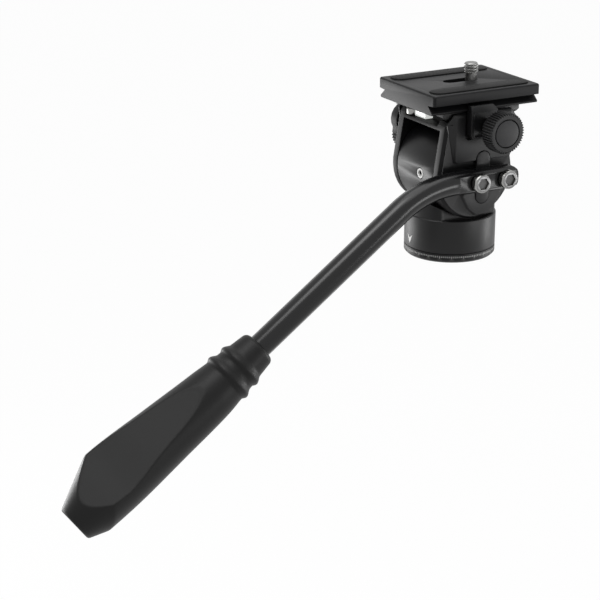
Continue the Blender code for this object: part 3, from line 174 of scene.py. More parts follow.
# Soft studio light: a box overhead, a low strip on each side of the base, one beside the knob and
# a long one over the handle. Metres and watts.
studio = {
    "floorHeight": -0.36,  # low enough to leave no bright patch on the base
    "floorRadius": 5.0,
    "floorSides": 96,
    "floorColour": "#f2f2f2",
    "floorWhite": 0.97,  # share of plain white in what the camera and mirrors see of the floor
    "worldStrength": 0.30,
    "lamps": [
        # name, place, aim, width, height, watts
        ("topBox", (0.05, -0.10, 0.95), (0.0, -0.05, 0.0), 0.90, 0.90, 5.2),
        ("rearStrip", (-0.66, -0.40, -0.18), (0.0, -0.02, 0.04), 0.50, 0.30, 2.9),
        ("frontStrip", (0.24, 0.80, -0.16), (0.0, 0.0, 0.03), 0.20, 0.36, 2.7),
        ("sideBox", (0.80, 0.46, -0.06), (0.0, 0.0, 0.05), 0.40, 0.22, 1.8),
        ("handleStrip", (0.20, -0.52, 0.85), (0.025, -0.09, 0.0), 0.36, 0.60, 2.8),
    ],
}


def showsWhite(tree):
    # 1 where a camera, mirror or glass ray arrives, 0 for the light that falls on the object
    path = addNode(tree, "ShaderNodeLightPath")
    first = addNode(tree, "ShaderNodeMath", {"operation": "MAXIMUM"},
                    {0: path.outputs["Is Camera Ray"], 1: path.outputs["Is Glossy Ray"]})
    return addNode(tree, "ShaderNodeMath", {"operation": "MAXIMUM"},
                   {0: first.outputs[0], 1: path.outputs["Is Transmission Ray"]}).outputs[0]


def makeWorld(setup):
    world = bpy.data.worlds.new("paleStudio")
    scene.world = world
    world.use_nodes = True
    tree = world.node_tree
    tree.nodes.clear()
    strength = addNode(tree, "ShaderNodeMapRange", {"To Min": setup["worldStrength"], "To Max": 1.0},
                       {"Value": showsWhite(tree)})
    sky = addNode(tree, "ShaderNodeBackground", {"Color": linear("#ffffff")},
                  {"Strength": strength.outputs[0]})
    addNode(tree, "ShaderNodeOutputWorld", links={"Surface": sky.outputs[0]})


def makeFloor(setup):
    paper, tree = emptyMaterial("whitePaperFloor")
    matt = addNode(tree, "ShaderNodeBsdfDiffuse", {"Color": linear(setup["floorColour"])})
    glow = addNode(tree, "ShaderNodeEmission", {"Color": linear("#ffffff"), "Strength": 1.0})
    share = addNode(tree, "ShaderNodeMath", {"operation": "MULTIPLY", 1: setup["floorWhite"]},
                    {0: showsWhite(tree)})
    both = addNode(tree, "ShaderNodeMixShader",
                   links={0: share.outputs[0], 1: matt.outputs[0], 2: glow.outputs[0]})
    addNode(tree, "ShaderNodeOutputMaterial", links={"Surface": both.outputs[0]})
    shape = bmesh.new()
    bmesh.ops.create_circle(shape, cap_ends=True, segments=setup["floorSides"], radius=setup["floorRadius"],
                            matrix=Matrix.Translation((0, 0, setup["floorHeight"])))
    floor = shapeToObject(shape, "floor")
    setMaterials(floor, paper)


def makeLamps(setup):
    for name, place, aim, width, height, watts in setup["lamps"]:
        data = bpy.data.lights.new(name, "AREA")
        data.shape = "RECTANGLE"
        data.size, data.size_y, data.energy = width, height, watts
        lamp = newObject(name, data)
        lamp.location = place
        lamp.visible_camera = False
        lamp.rotation_mode = "QUATERNION"
        lamp.rotation_quaternion = (Vector(aim) - Vector(place)).to_track_quat("-Z", "Y")


makeCamera(cameraSetup)
makeWorld(studio)
makeFloor(studio)
makeLamps(studio)
print("camera and studio set")


# Materials. All looks share the noise's detail and how far an edge turns before it counts as rubbed.
skinDetail = {"drift": 3.0, "grain": 4.0, "grainRoughness": 0.6, "rubStart": 0.995, "rubFull": 0.90}
turnedDetail = {"drift": 2.0, "driftMm": 2.5, "rings": 2.0, "depthMm": 0.02}
bevelSamples = 4


def grainySkin(name, look):
    # cast, moulded and coated skins: slow colour drift, a fine grain, and paler rubbed edges.
    # The real grain is near 0.1 mm, too fine for the render, and is drawn as coarse as it needs to show.
    material, tree = emptyMaterial(name)
    place = addNode(tree, "ShaderNodeTexCoord").outputs["Object"]
    drift = addNode(tree, "ShaderNodeTexNoise",
                    {"Scale": 1000 / look["driftMm"], "Detail": skinDetail["drift"]}, {"Vector": place})
    grain = addNode(tree, "ShaderNodeTexNoise",
                    {"Scale": 1000 / look["grainMm"], "Detail": skinDetail["grain"],
                     "Roughness": skinDetail["grainRoughness"]}, {"Vector": place})
    colour = addNode(tree, "ShaderNodeMix",
                     {"data_type": "RGBA", 6: linear(look["dark"]), 7: linear(look["pale"])},
                     {0: drift.outputs["Fac"]})
    shine = addNode(tree, "ShaderNodeMapRange",
                    {"To Min": look["roughness"][0], "To Max": look["roughness"][1]},
                    {"Value": grain.outputs["Fac"]})
    shineOut = shine.outputs[0]
    if "patch" in look:
        # a second colour and roughness where the mesh's own attribute says so; the second colour is a painted
        # sheen
        marked = addNode(tree, "ShaderNodeAttribute", {"attribute_name": look["patch"]}).outputs["Fac"]
        colour = addNode(tree, "ShaderNodeMix", {"data_type": "RGBA", 7: linear(look["patchPaintedSheen"])},
                         {0: marked, 6: colour.outputs[2]})
        shineOut = addNode(tree, "ShaderNodeMix", {3: look["patchRoughness"]},
                           {0: marked, 2: shineOut}).outputs[0]
    rounded = addNode(tree, "ShaderNodeBevel", {"samples": bevelSamples, "Radius": look["edgeMm"] / 1000})
    flat = addNode(tree, "ShaderNodeNewGeometry")
    facing = addNode(tree, "ShaderNodeVectorMath", {"operation": "DOT_PRODUCT"},
                     {0: rounded.outputs[0], 1: flat.outputs["Normal"]})
    worn = addNode(tree, "ShaderNodeMapRange",
                   {"From Min": skinDetail["rubStart"], "From Max": skinDetail["rubFull"],
                    "To Min": 0.0, "To Max": look["wear"]}, {"Value": facing.outputs["Value"]})
    rubbed = addNode(tree, "ShaderNodeMix", {"data_type": "RGBA", 7: linear(look["edge"])},
                     {0: worn.outputs[0], 6: colour.outputs[2]})
    bump = addNode(tree, "ShaderNodeBump", {"Strength": look["bump"], "Distance": look["depthMm"] / 1000},
                   {"Height": grain.outputs["Fac"], "Normal": rounded.outputs[0]})
    skin = addNode(tree, "ShaderNodeBsdfPrincipled", {"Specular IOR Level": look["specular"]},
                   {"Base Color": rubbed.outputs[2], "Roughness": shineOut, "Normal": bump.outputs[0]})
    if "glow" in look:
        skin.inputs["Emission Color"].default_value = linear(look["pale"])
        skin.inputs["Emission Strength"].default_value = look["glow"]
    addNode(tree, "ShaderNodeOutputMaterial", links={"Surface": skin.outputs[0]})
    return material


def turnedMetal(name, look, centre=(0, 0, 0), axis="X"):
    # metal off the lathe: rings round the axis, drawn coarser than real ones to show, and a colour drift
    material, tree = emptyMaterial(name)
    place = addNode(tree, "ShaderNodeTexCoord").outputs["Object"]
    centred = addNode(tree, "ShaderNodeMapping", {"Location": [-c for c in centre]}, {"Vector": place})
    across = [0 if letter == axis else 1 for letter in "XYZ"]
    flattened = addNode(tree, "ShaderNodeVectorMath", {"operation": "MULTIPLY", 1: across},
                        {0: centred.outputs[0]})
    radius = addNode(tree, "ShaderNodeVectorMath", {"operation": "LENGTH"}, {0: flattened.outputs[0]})
    rings = addNode(tree, "ShaderNodeTexNoise",
                    {"noise_dimensions": "1D", "Scale": 1000 / look["ringMm"],
                     "Detail": turnedDetail["rings"]}, {"W": radius.outputs["Value"]})
    drift = addNode(tree, "ShaderNodeTexNoise",
                    {"Scale": 1000 / turnedDetail["driftMm"], "Detail": turnedDetail["drift"]},
                    {"Vector": place})
    colour = addNode(tree, "ShaderNodeMix",
                     {"data_type": "RGBA", 6: linear(look["dark"]), 7: linear(look["pale"])},
                     {0: drift.outputs["Fac"]})
    shine = addNode(tree, "ShaderNodeMapRange",
                    {"To Min": look["roughness"][0], "To Max": look["roughness"][1]},
                    {"Value": rings.outputs["Fac"]})
    rounded = addNode(tree, "ShaderNodeBevel", {"samples": bevelSamples, "Radius": look["edgeMm"] / 1000})
    bump = addNode(tree, "ShaderNodeBump",
                   {"Strength": look["bump"], "Distance": turnedDetail["depthMm"] / 1000},
                   {"Height": rings.outputs["Fac"], "Normal": rounded.outputs[0]})
    skin = addNode(tree, "ShaderNodeBsdfPrincipled", {"Metallic": 1.0},
                   {"Base Color": colour.outputs[2], "Roughness": shine.outputs[0],
                    "Normal": bump.outputs[0]})
    addNode(tree, "ShaderNodeOutputMaterial", links={"Surface": skin.outputs[0]})
    return material


# Black anodised aluminium, blasted before the dye: satin, with a fine even grain and paler rubbed edges
anodisedAluminium = grainySkin("blackAnodisedAluminium", {
    "dark": "#0c0c0d", "pale": "#111112", "edge": "#4a4a4c", "wear": 0.35, "edgeMm": 0.25,
    "driftMm": 9.0, "grainMm": 0.45, "depthMm": 0.02, "bump": 0.25,
    "roughness": (0.38, 0.48), "specular": 0.28})
# The scale ring is dyed after it is turned, so its edges stay black
turnedRing = grainySkin("dyedTurnedRing", {
    "dark": "#0d0d0e", "pale": "#121213", "edge": "#161617", "wear": 0.2, "edgeMm": 0.15,
    "driftMm": 9.0, "grainMm": 0.45, "depthMm": 0.02, "bump": 0.20,
    "roughness": (0.40, 0.50), "specular": 0.24})
# The bracket is cast and blasted coarser than the turned pieces, so it shines less
castBracket = grainySkin("blastedBracketCasting", {
    "dark": "#0c0c0d", "pale": "#111112", "edge": "#404042", "wear": 0.35, "edgeMm": 0.22,
    "driftMm": 9.0, "grainMm": 0.50, "depthMm": 0.02, "bump": 0.25,
    "roughness": (0.42, 0.52), "specular": 0.15})
# The plate is sanded before it is dyed: an even, dull black that the overhead light turns grey
plateAluminium = grainySkin("sandedPlateAluminium", {
    "dark": "#0e0e0f", "pale": "#131314", "edge": "#2c2c2e", "wear": 0.2, "edgeMm": 0.12,
    "driftMm": 12.0, "grainMm": 0.40, "depthMm": 0.02, "bump": 0.30,
    "roughness": (0.40, 0.50), "specular": 0.15})
# Its milled chamfer is smoother than the top and painted a deeper black: painted shade, for the dark it would
# mirror from above
chamferPaintedShade = grainySkin("milledChamferAluminium", {
    "dark": "#050505", "pale": "#070707", "edge": "#0c0c0c", "wear": 0.1, "edgeMm": 0.10,
    "driftMm": 12.0, "grainMm": 0.60, "depthMm": 0.01, "bump": 0.10,
    "roughness": (0.34, 0.40), "specular": 0.06})
# Satin black powder coat on the bent tube: smooth, with one soft streak of light along it
coatedTube = grainySkin("satinPowderCoat", {
    "dark": "#080809", "pale": "#0b0b0c", "edge": "#1c1c1d", "wear": 0.1, "edgeMm": 0.25,
    "driftMm": 14.0, "grainMm": 1.6, "depthMm": 0.005, "bump": 0.05,
    "roughness": (0.22, 0.25), "specular": 0.36})
# Glass-filled nylon, moulded in a spark-eroded die: matt with a fine stipple
mouldedNylon = grainySkin("mouldedNylon", {
    "dark": "#0d0d0e", "pale": "#121213", "edge": "#343435", "wear": 0.25, "edgeMm": 0.2,
    "driftMm": 8.0, "grainMm": 0.50, "depthMm": 0.03, "bump": 0.35,
    "roughness": (0.44, 0.56), "specular": 0.28})
# The drum's nylon cover is moulded in a polished die, smoother than the other plastic
drumNylon = grainySkin("smoothMouldedDrum", {
    "dark": "#0c0c0d", "pale": "#101011", "edge": "#2c2c2d", "wear": 0.15, "edgeMm": 0.2,
    "driftMm": 10.0, "grainMm": 0.60, "depthMm": 0.015, "bump": 0.20,
    "roughness": (0.33, 0.40), "specular": 0.20})
# The lock knob is a duller nylon
lockNylon = grainySkin("dullMouldedLockKnob", {
    "dark": "#0d0d0e", "pale": "#121213", "edge": "#303031", "wear": 0.25, "edgeMm": 0.2,
    "driftMm": 8.0, "grainMm": 0.50, "depthMm": 0.03, "bump": 0.35,
    "roughness": (0.46, 0.56), "specular": 0.20})
# The knob's cap is a separate moulding with a coarser, paler grain
capNylon = grainySkin("grainedKnobCap", {
    "dark": "#1c1c1d", "pale": "#272728", "edge": "#3c3c3d", "wear": 0.2, "edgeMm": 0.15,
    "driftMm": 1.2, "grainMm": 0.60, "depthMm": 0.03, "bump": 0.40,
    "roughness": (0.46, 0.58), "specular": 0.28})
# Moulded rubber of the pads: dull, finely pitted
mouldedRubber = grainySkin("mouldedRubber", {
    "dark": "#131313", "pale": "#181818", "edge": "#2c2c2c", "wear": 0.2, "edgeMm": 0.3,
    "driftMm": 16.0, "grainMm": 0.70, "depthMm": 0.03, "bump": 0.30,
    "roughness": (0.58, 0.72), "specular": 0.15})
# The grip's rubber is smoother where it is round and dull on the long flat, which is painted paler as a sheen
# of reflected light
gripRubber = grainySkin("mouldedGripRubber", {
    "dark": "#0e0e0e", "pale": "#131313", "edge": "#202020", "wear": 0.1, "edgeMm": 0.3,
    "driftMm": 16.0, "grainMm": 0.80, "depthMm": 0.03, "bump": 0.20,
    "patch": "flatShare", "patchPaintedSheen": "#373737", "patchRoughness": 0.85,
    "roughness": (0.40, 0.50), "specular": 0.20})
# Natural nylon of the washers, off-white and slightly waxy
naturalNylon = grainySkin("naturalNylon", {
    "dark": "#b9b6aa", "pale": "#c8c5ba", "edge": "#d8d5cc", "wear": 0.2, "edgeMm": 0.1,
    "driftMm": 5.0, "grainMm": 0.60, "depthMm": 0.02, "bump": 0.20,
    "roughness": (0.40, 0.50), "specular": 0.45})
# White pad-printed ink of the marks: flat and slightly uneven
whiteInk = grainySkin("whitePrintedInk", {
    "dark": "#dcdcda", "pale": "#ececea", "edge": "#f2f2f0", "wear": 0.1, "edgeMm": 0.05,
    "driftMm": 2.0, "grainMm": 0.30, "depthMm": 0.01, "bump": 0.15,
    "roughness": (0.50, 0.60), "specular": 0.40})
# The scale's numbers are printed finer than the pixels, so they read greyer than its ticks
numberInk = grainySkin("greyPrintedInk", {
    "dark": "#525251", "pale": "#5e5e5c", "edge": "#666664", "wear": 0.1, "edgeMm": 0.05,
    "driftMm": 2.0, "grainMm": 0.30, "depthMm": 0.01, "bump": 0.15,
    "roughness": (0.50, 0.60), "specular": 0.40})
# The broached sockets' floors get a dull, darker grey: painted shade of the recess
socketPaintedShade = grainySkin("oxidisedSocketSteel", {
    "dark": "#707070", "pale": "#7e7e7e", "edge": "#888888", "wear": 0.2, "edgeMm": 0.10,
    "driftMm": 3.0, "grainMm": 0.30, "depthMm": 0.01, "bump": 0.15,
    "roughness": (0.50, 0.62), "specular": 0.20})
# Clear acrylic of the spirit level: the light that the clear body gathers is written as a weak glow
clearAcrylic = grainySkin("clearAcrylicVial", {
    "dark": "#dcdfdc", "pale": "#e8ebe8", "edge": "#f4f6f4", "wear": 0.2, "edgeMm": 0.15,
    "driftMm": 3.0, "grainMm": 1.2, "depthMm": 0.01, "bump": 0.10,
    "roughness": (0.10, 0.16), "specular": 0.5, "glow": 0.65})

# Polished heads of the handle screws: bright, with rings too shallow to see one by one
screwLook = {"dark": "#8e8e8c", "pale": "#a0a09e", "ringMm": 0.8, "roughness": (0.20, 0.26),
             "edgeMm": 0.06, "bump": 0.01}
# Their flat rims, and the small socket screws, are faced and not polished, a duller grey
screwFaceLook = {"dark": "#6e6e6e", "pale": "#7c7c7c", "ringMm": 0.8, "roughness": (0.34, 0.42),
                 "edgeMm": 0.04, "bump": 0.01}
# The camera screw is zinc plated and passivated, duller than the polished heads
cameraScrewLook = {"dark": "#7a7a79", "pale": "#8c8c8a", "ringMm": 0.8, "roughness": (0.34, 0.42),
                   "edgeMm": 0.05, "bump": 0.01}
# The receiver screw that shows has a ground head, clean and bright
groundLook = {"dark": "#8a8a88", "pale": "#9c9c9a", "ringMm": 0.8, "roughness": (0.20, 0.28),
              "edgeMm": 0.2, "bump": 0.01}
# Plain turned steel of the bolts, pins and washers inside, with rings that show
steelLook = {"dark": "#9a9a99", "pale": "#b8b8b6", "ringMm": 0.35, "roughness": (0.18, 0.28),
             "edgeMm": 0.25, "bump": 0.06}
# Turned brass of the bush, the bearings and the brake shoe
brassLook = {"dark": "#a07a3c", "pale": "#b98f4a", "ringMm": 0.35, "roughness": (0.24, 0.36),
             "edgeMm": 0.15, "bump": 0.10}
turnedSteel = turnedMetal("turnedSteel", steelLook)
turnedBrass = turnedMetal("turnedBrass", brassLook)
bushBrass = turnedMetal("turnedBushBrass", brassLook, axis="Z")
groundSteel = turnedMetal("groundScrewSteel", groundLook, middleOf("receiver_screw_rear_left"), "Z")

slotMaterials = {
    "black_anodised": anodisedAluminium, "satin_black": coatedTube, "matte_black": mouldedNylon,
    "black_rubber": mouldedRubber, "polished_steel": turnedSteel, "brass": turnedBrass,
    "pale_acrylic": clearAcrylic, "white_mark": whiteInk, "natural_nylon": naturalNylon,
}
ownMaterials = {
    "lock_knob": lockNylon, "tilt_drum": drumNylon, "tilt_bracket": castBracket, "scale_ring": turnedRing,
    "clamp_knob_cap": capNylon, "receiver_screw_rear_left": groundSteel,
}


def materialOf(nodeName):
    return ownMaterials.get(nodeName) or slotMaterials[slotOf(nodeName)]


for nodeName, piece in nodes.items():
    setMaterials(piece, materialOf(nodeName))
print("materials made")


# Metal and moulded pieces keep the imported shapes, welded, with a fine bevel on their edges
weldSetup = {"joinWithin": 0.002, "flatAngle": 0.8}
skinSetup = {
    # node: width of the bevel, and the angle from which an edge counts as sharp
    "scale_ring": (0.15, 30), "pan_housing": (0.18, 30), "tilt_drum": (0.15, 30), "tilt_bracket": (0.28, 30),
    "right_side_plate": (0.18, 25), "left_side_plate": (0.18, 25), "handle_key": (0.20, 30),
    "handle_tube": (0.25, 40), "clamp_receiver": (0.22, 30), "clamp_jaw": (0.28, 25),
    "plate_pad_left": (0.15, 30), "plate_pad_right": (0.15, 30), "lock_knob": (0.12, 30),
    "clamp_knob_cap": (0.15, 30), "receiver_screw_rear_left": (0.30, 30),
}


def weldedCopy(nodeName):
    mesh = nodes[nodeName].data.copy()
    shape = bmesh.new()
    shape.from_mesh(mesh)
    bmesh.ops.remove_doubles(shape, verts=shape.verts, dist=weldSetup["joinWithin"] / 1000)
    bmesh.ops.dissolve_limit(shape, angle_limit=math.radians(weldSetup["flatAngle"]),
                             verts=shape.verts, edges=shape.edges)
    shape.to_mesh(mesh)
    shape.free()
    return newObject(nodeName + "_skin", mesh)


def shadeBy(piece, sharpAngle):
    piece.data.shade_smooth()
    piece.data.set_sharp_from_angle(angle=math.radians(sharpAngle))


def bevelEdges(piece, width, sharpAngle):
    bevel = piece.modifiers.new("edges", "BEVEL")
    bevel.width = width / 1000
    bevel.segments = 2
    bevel.limit_method = "ANGLE"
    bevel.angle_limit = math.radians(sharpAngle)
    piece = plainMesh(piece)
    shadeBy(piece, sharpAngle)
    return piece


for nodeName, (bevelWidth, sharpAngle) in skinSetup.items():
    skin = bevelEdges(weldedCopy(nodeName), bevelWidth, sharpAngle)
    finishPiece(skin, nodeName, materialOf(nodeName))
print("skins made:", len(skinSetup))


# Quick plate: its top edges are cut back at 45 degrees, and the chamfer is painted a deeper black as painted
# shade, which shows as a dark line
plateSetup = {"top": 76.0, "topWithin": 0.1, "rimWithin": 1.9, "foldAngle": 60, "chamfer": 0.5,
              "edge": 0.12, "sharpAngle": 25}


def onPlateRim(edge, low, high, setup):
    # true for a folded edge of the top face, close to the plate's own outline
    onTop = all(abs(v.co.z - setup["top"] / 1000) < setup["topWithin"] / 1000 for v in edge.verts)
    nearRim = all(min(v.co.x - low.x, high.x - v.co.x, v.co.y - low.y, high.y - v.co.y)
                  < setup["rimWithin"] / 1000 for v in edge.verts)
    folded = len(edge.link_faces) == 2 and edge.calc_face_angle(0) > math.radians(setup["foldAngle"])
    return onTop and nearRim and folded


def makePlate(setup):
    piece = weldedCopy("quick_plate")
    low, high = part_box("quick_plate")
    shape = bmesh.new()
    shape.from_mesh(piece.data)
    rim = [edge for edge in shape.edges if onPlateRim(edge, low, high, setup)]
    made = bmesh.ops.bevel(shape, geom=rim, offset=setup["chamfer"] / 1000, segments=1, affect="EDGES",
                           offset_type="OFFSET", clamp_overlap=True)
    # the chamfer's faces take the second material, whose deeper black is painted shade
    for face in made["faces"]:
        face.material_index = 1
    shape.to_mesh(piece.data)
    shape.free()
    setMaterials(piece, plateAluminium, chamferPaintedShade)
    finishPiece(bevelEdges(piece, setup["edge"], setup["sharpAngle"]), "quick_plate")


makePlate(plateSetup)
print("plate made")


# Shapes made of rings: turned pieces, the thread and the grip

def meshFromRings(name, rings, looped=False):
    # a closed skin over rings of equal length: a fan shuts each end, or the last ring joins the first
    shape = bmesh.new()
    rows = [[shape.verts.new(point) for point in ring] for ring in rings]
    count = len(rings[0])
    following = rows[1:] + rows[:1] if looped else rows[1:]
    for first, second in zip(rows, following):
        for i in range(count):
            shape.faces.new((first[i], first[(i + 1) % count], second[(i + 1) % count], second[i]))
    for row in () if looped else (rows[0], rows[-1]):
        pole = shape.verts.new(sum((v.co for v in row), Vector()) / count)
        for i in range(count):
            shape.faces.new((row[i], row[(i + 1) % count], pole))
    bmesh.ops.recalc_face_normals(shape, faces=shape.faces)
    return shapeToObject(shape, name)


def turnedRings(profile, steps, axis, centre):
    # profile of (height, radius) in millimetres, turned about X or Z
    rings = []
    for height, radius in profile:
        ring = []
        for i in range(steps):
            angle = 2 * math.pi * i / steps
            a, b = radius * math.cos(angle), radius * math.sin(angle)
            ring.append(Vector((height, a, b) if axis == "X" else (a, b, height)) / 1000 + Vector(centre))
        rings.append(ring)
    return rings


def hexagonBar(name, low, high, radius, axis, centre):
    return meshFromRings(name, turnedRings([(low, radius), (high, radius)], 6, axis, centre))


def roundedCorner(fromPoint, corner, toPoint, radius, steps=4):
    # points on a curve that rounds a corner of a profile
    start, middle, end = Vector(fromPoint), Vector(corner), Vector(toPoint)
    a, b = (start - middle).normalized(), (end - middle).normalized()
    points = []
    for i in range(steps + 1):
        share = i / steps
        points.append(tuple(middle + a * radius * (1 - share) ** 2 + b * radius * share ** 2))
    return points


def cutAway(piece, cutter):
    cut = piece.modifiers.new("cut", "BOOLEAN")
    cut.operation = "DIFFERENCE"
    cut.solver = "EXACT"
    cut.object = cutter
    piece = plainMesh(piece)
    bpy.data.objects.remove(cutter)
    return piece


# Handle screws: polished socket heads with a rounded rim, and a hexagon socket let into each, dark from a
# painted-shade lining on its floor
handleScrewSetup = {
    "height": 38.4, "places": {"rear": -4.6, "front": 9.0}, "sides": 64, "sharpAngle": 35,
    "headRadius": 4.1, "headLow": 29.1, "headTop": 32.0, "rimRound": 1.3, "rimSteps": 6, "seatBevel": 0.15,
    "faceFan": 0.4,  # radius of the fan that shuts the head, cut out again with the socket
    "shankRadius": 2.5, "tipBevel": 0.3, "tipInset": 0.05,
    "socketRadius": 2.75, "socketDepth": 1.5, "socketOverrun": 0.5, "rimLand": 0.12,
    "faceDepth": 0.2, "faceNormal": 0.9,  # depth and least X of the normal of a face on the dull rim
    "liningGap": 0.04, "liningSink": 0.1, "liningRise": 0.25,
}


def makeHandleScrew(end, y, setup):
    nodeName = "handle_screw_" + end
    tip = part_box(nodeName)[0].x * 1000 + setup["tipInset"]
    centre = (0, y / 1000, setup["height"] / 1000)
    low, top, rim, shank = (setup[key] for key in ("headLow", "headTop", "headRadius", "shankRadius"))
    profile = [(tip, shank - setup["tipBevel"]), (tip + setup["tipBevel"], shank), (low, shank),
               (low, rim - setup["seatBevel"]), (low + setup["seatBevel"], rim)]
    profile += roundedCorner((low, rim), (top, rim), (top, 0), setup["rimRound"], setup["rimSteps"])
    profile += [(top, setup["socketRadius"] - setup["rimLand"]), (top, setup["faceFan"])]
    head = meshFromRings(nodeName + "_turned", turnedRings(profile, setup["sides"], "X", centre))
    floor = top - setup["socketDepth"]
    piece = cutAway(head, hexagonBar("hexagon", floor, top + setup["socketOverrun"], setup["socketRadius"],
                                     "X", centre))
    shadeBy(piece, setup["sharpAngle"])
    setMaterials(piece, turnedMetal("polishedScrewSteel_" + end, screwLook, centre),
                 turnedMetal("facedScrewSteel_" + end, screwFaceLook, centre))
    for face in piece.data.polygons:
        onFace = face.normal.x > setup["faceNormal"] and face.center.x > (top - setup["faceDepth"]) / 1000
        face.material_index = int(onFace)
    finishPiece(piece, nodeName)
    # a thin hexagon on the socket's floor in a darker grey: painted shade of the recess
    lining = hexagonBar(nodeName + "_socket_floor", floor - setup["liningSink"], floor + setup["liningRise"],
                        setup["socketRadius"] - setup["liningGap"], "X", centre)
    finishPiece(lining, nodeName, socketPaintedShade, stands=False)


# Screws of the left side and the underside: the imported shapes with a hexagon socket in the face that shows
socketSetup = {
    "edge": 0.15, "sharpAngle": 35, "overrun": 0.5,
    "screws": {
        # node: axis, side that shows, socket's share of the head's radius, depth
        "left_plate_screw_rear": ("X", -1, 0.52, 1.2), "left_plate_screw_front": ("X", -1, 0.52, 1.2),
        "lock_stud": ("X", -1, 0.50, 0.8), "plate_stop_screw_rear": ("Z", -1, 0.50, 0.8),
        "plate_stop_screw_front": ("Z", -1, 0.50, 0.8),
    },
}


def makeSocketScrew(nodeName, axis, side, share, depth, setup):
    low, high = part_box(nodeName)
    along = "XYZ".index(axis)
    face = (high if side > 0 else low)[along] * 1000
    headRadius = (high - low)[1] * 1000 / 2
    centre = middleOf(nodeName)
    centre[along] = 0
    inside, outside = sorted((face - side * depth, face + side * setup["overrun"]))
    hexagon = hexagonBar("hexagon", inside, outside, headRadius * share, axis, centre)
    piece = bevelEdges(cutAway(weldedCopy(nodeName), hexagon), setup["edge"], setup["sharpAngle"])
    finishPiece(piece, nodeName, turnedMetal("turnedSteel_" + nodeName, screwFaceLook, centre, axis))


# Camera screw: 1/4 inch thread, 1.27 mm pitch, on a plain neck and a wide slotted head
cameraScrewSetup = {
    "y": 8.8, "crest": 3.1, "root": 2.45, "pitch": 1.27, "threadLow": 78.7, "top": 83.2, "neck": 2.5,
    "tip": 0.6, "runIn": 0.5, "crestShare": 0.28, "flankShare": 0.50, "steps": 72, "rows": 100,
    "headRadius": 6.2, "headLow": 68.5, "headHigh": 70.5, "headBevel": 0.2,
    "coinWidth": 1.2, "coinDepth": 1.0, "coinOverrun": 1.0, "sharpAngle": 40,
}


def threadRadius(setup, height, angle):
    # height and angle give the place on the helix: crest, flank or root
    turn = ((height - setup["threadLow"]) / setup["pitch"] - angle / (2 * math.pi)) % 1.0
    away = abs(turn - 0.5) * 2
    depth = limited((away - setup["crestShare"]) / setup["flankShare"])
    runIn = limited((height - setup["threadLow"]) / setup["runIn"])
    radius = setup["crest"] - (setup["crest"] - setup["root"]) * depth
    radius = setup["neck"] + (radius - setup["neck"]) * runIn
    tipLoss = setup["tip"] * max(0.0, 1 - (setup["top"] - height) / setup["tip"])
    return min(radius, setup["crest"] - tipLoss)


def makeCameraScrew(setup):
    centre = Vector((0, setup["y"] / 1000, 0))
    steps, rows = setup["steps"], setup["rows"]
    low, high, neck = setup["headLow"], setup["headHigh"], setup["neck"]
    rim, bevel = setup["headRadius"], setup["headBevel"]
    rings = turnedRings([(low, rim - bevel), (low + bevel, rim), (high - bevel, rim), (high, rim - bevel),
                         (high, neck)], steps, "Z", centre)
    for row in range(rows + 1):
        height = setup["threadLow"] + (setup["top"] - setup["threadLow"]) * row / rows
        ring = []
        for i in range(steps):
            angle = 2 * math.pi * i / steps
            radius = threadRadius(setup, height, angle)
            ring.append(Vector((radius * math.cos(angle), radius * math.sin(angle), height)) / 1000 + centre)
        rings.append(ring)
    piece = meshFromRings("camera_screw_thread", rings)
    size = Vector((2 * (rim + setup["coinOverrun"]), setup["coinWidth"], 2 * setup["coinDepth"])) / 1000
    slot = shapeToObject(boxShape(size, centre + Vector((0, 0, low / 1000))), "coinSlot")
    piece = cutAway(piece, slot)
    shadeBy(piece, setup["sharpAngle"])
    finishPiece(piece, "camera_screw", turnedMetal("turnedCameraScrewSteel", cameraScrewLook, centre, "Z"))


for end, y in handleScrewSetup["places"].items():
    makeHandleScrew(end, y, handleScrewSetup)
for nodeName, (axis, side, share, depth) in socketSetup["screws"].items():
    makeSocketScrew(nodeName, axis, side, share, depth, socketSetup)
makeCameraScrew(cameraScrewSetup)
print("screws made")


# Tripod bush: brass with a 3/8 inch thread, 16 to the inch, and a knurled band pressed into the ring
bushSetup = {
    "radius": 6.5, "length": 6.3, "edge": 0.3, "bore": 4.1, "pitch": 1.5875, "threadDepth": 0.55,
    "crestWidth": 0.2, "crestSpare": 0.02, "bandLow": 1.6, "bandHigh": 4.9, "bandSlope": 0.1,
    "bandSink": 0.05, "knurl": 0.12, "knurlTeeth": 36, "sharpAngle": 35,
}


def makeBush(setup):
    steps = setup["knurlTeeth"] * 2
    radius, edge, length = setup["radius"], setup["edge"], setup["length"]
    low, high, slope = setup["bandLow"], setup["bandHigh"], setup["bandSlope"]
    sunk = radius - setup["bandSink"]
    outer = turnedRings([(0.0, radius - edge), (edge, radius), (low, radius), (low + slope, sunk),
                         (high - slope, sunk), (high, radius), (length - edge, radius),
                         (length, radius - edge)], steps, "Z", (0, 0, 0))
    # the knurl lies on the sunk band
    for ring in outer[3:5]:
        for i in range(0, steps, 2):
            flat = Vector((ring[i].x, ring[i].y, 0)) * (1 - setup["knurl"] / radius)
            ring[i] = flat + Vector((0, 0, ring[i].z))
    # the thread goes from the top down, cut outward from the bore
    root, crest = setup["bore"] + setup["threadDepth"], setup["bore"] + setup["crestSpare"]
    pitch = setup["pitch"]
    profile = [(length, root)]
    height = length - pitch / 4
    while height > pitch / 2:
        profile += [(height, crest), (height - setup["crestWidth"], crest), (height - pitch / 2, root)]
        height -= pitch
    profile.append((0.0, root))
    inner = turnedRings(profile, steps, "Z", (0, 0, 0))
    piece = meshFromRings("tripod_bush_thread", outer + inner, looped=True)
    shadeBy(piece, setup["sharpAngle"])
    finishPiece(piece, "tripod_bush", bushBrass)


# Spirit level: a square bar of clear acrylic with softened edges, in the cylinder's own box
vialSetup = {"inset": 0.03, "edge": 0.25, "edgeSteps": 3, "sharpAngle": 50}


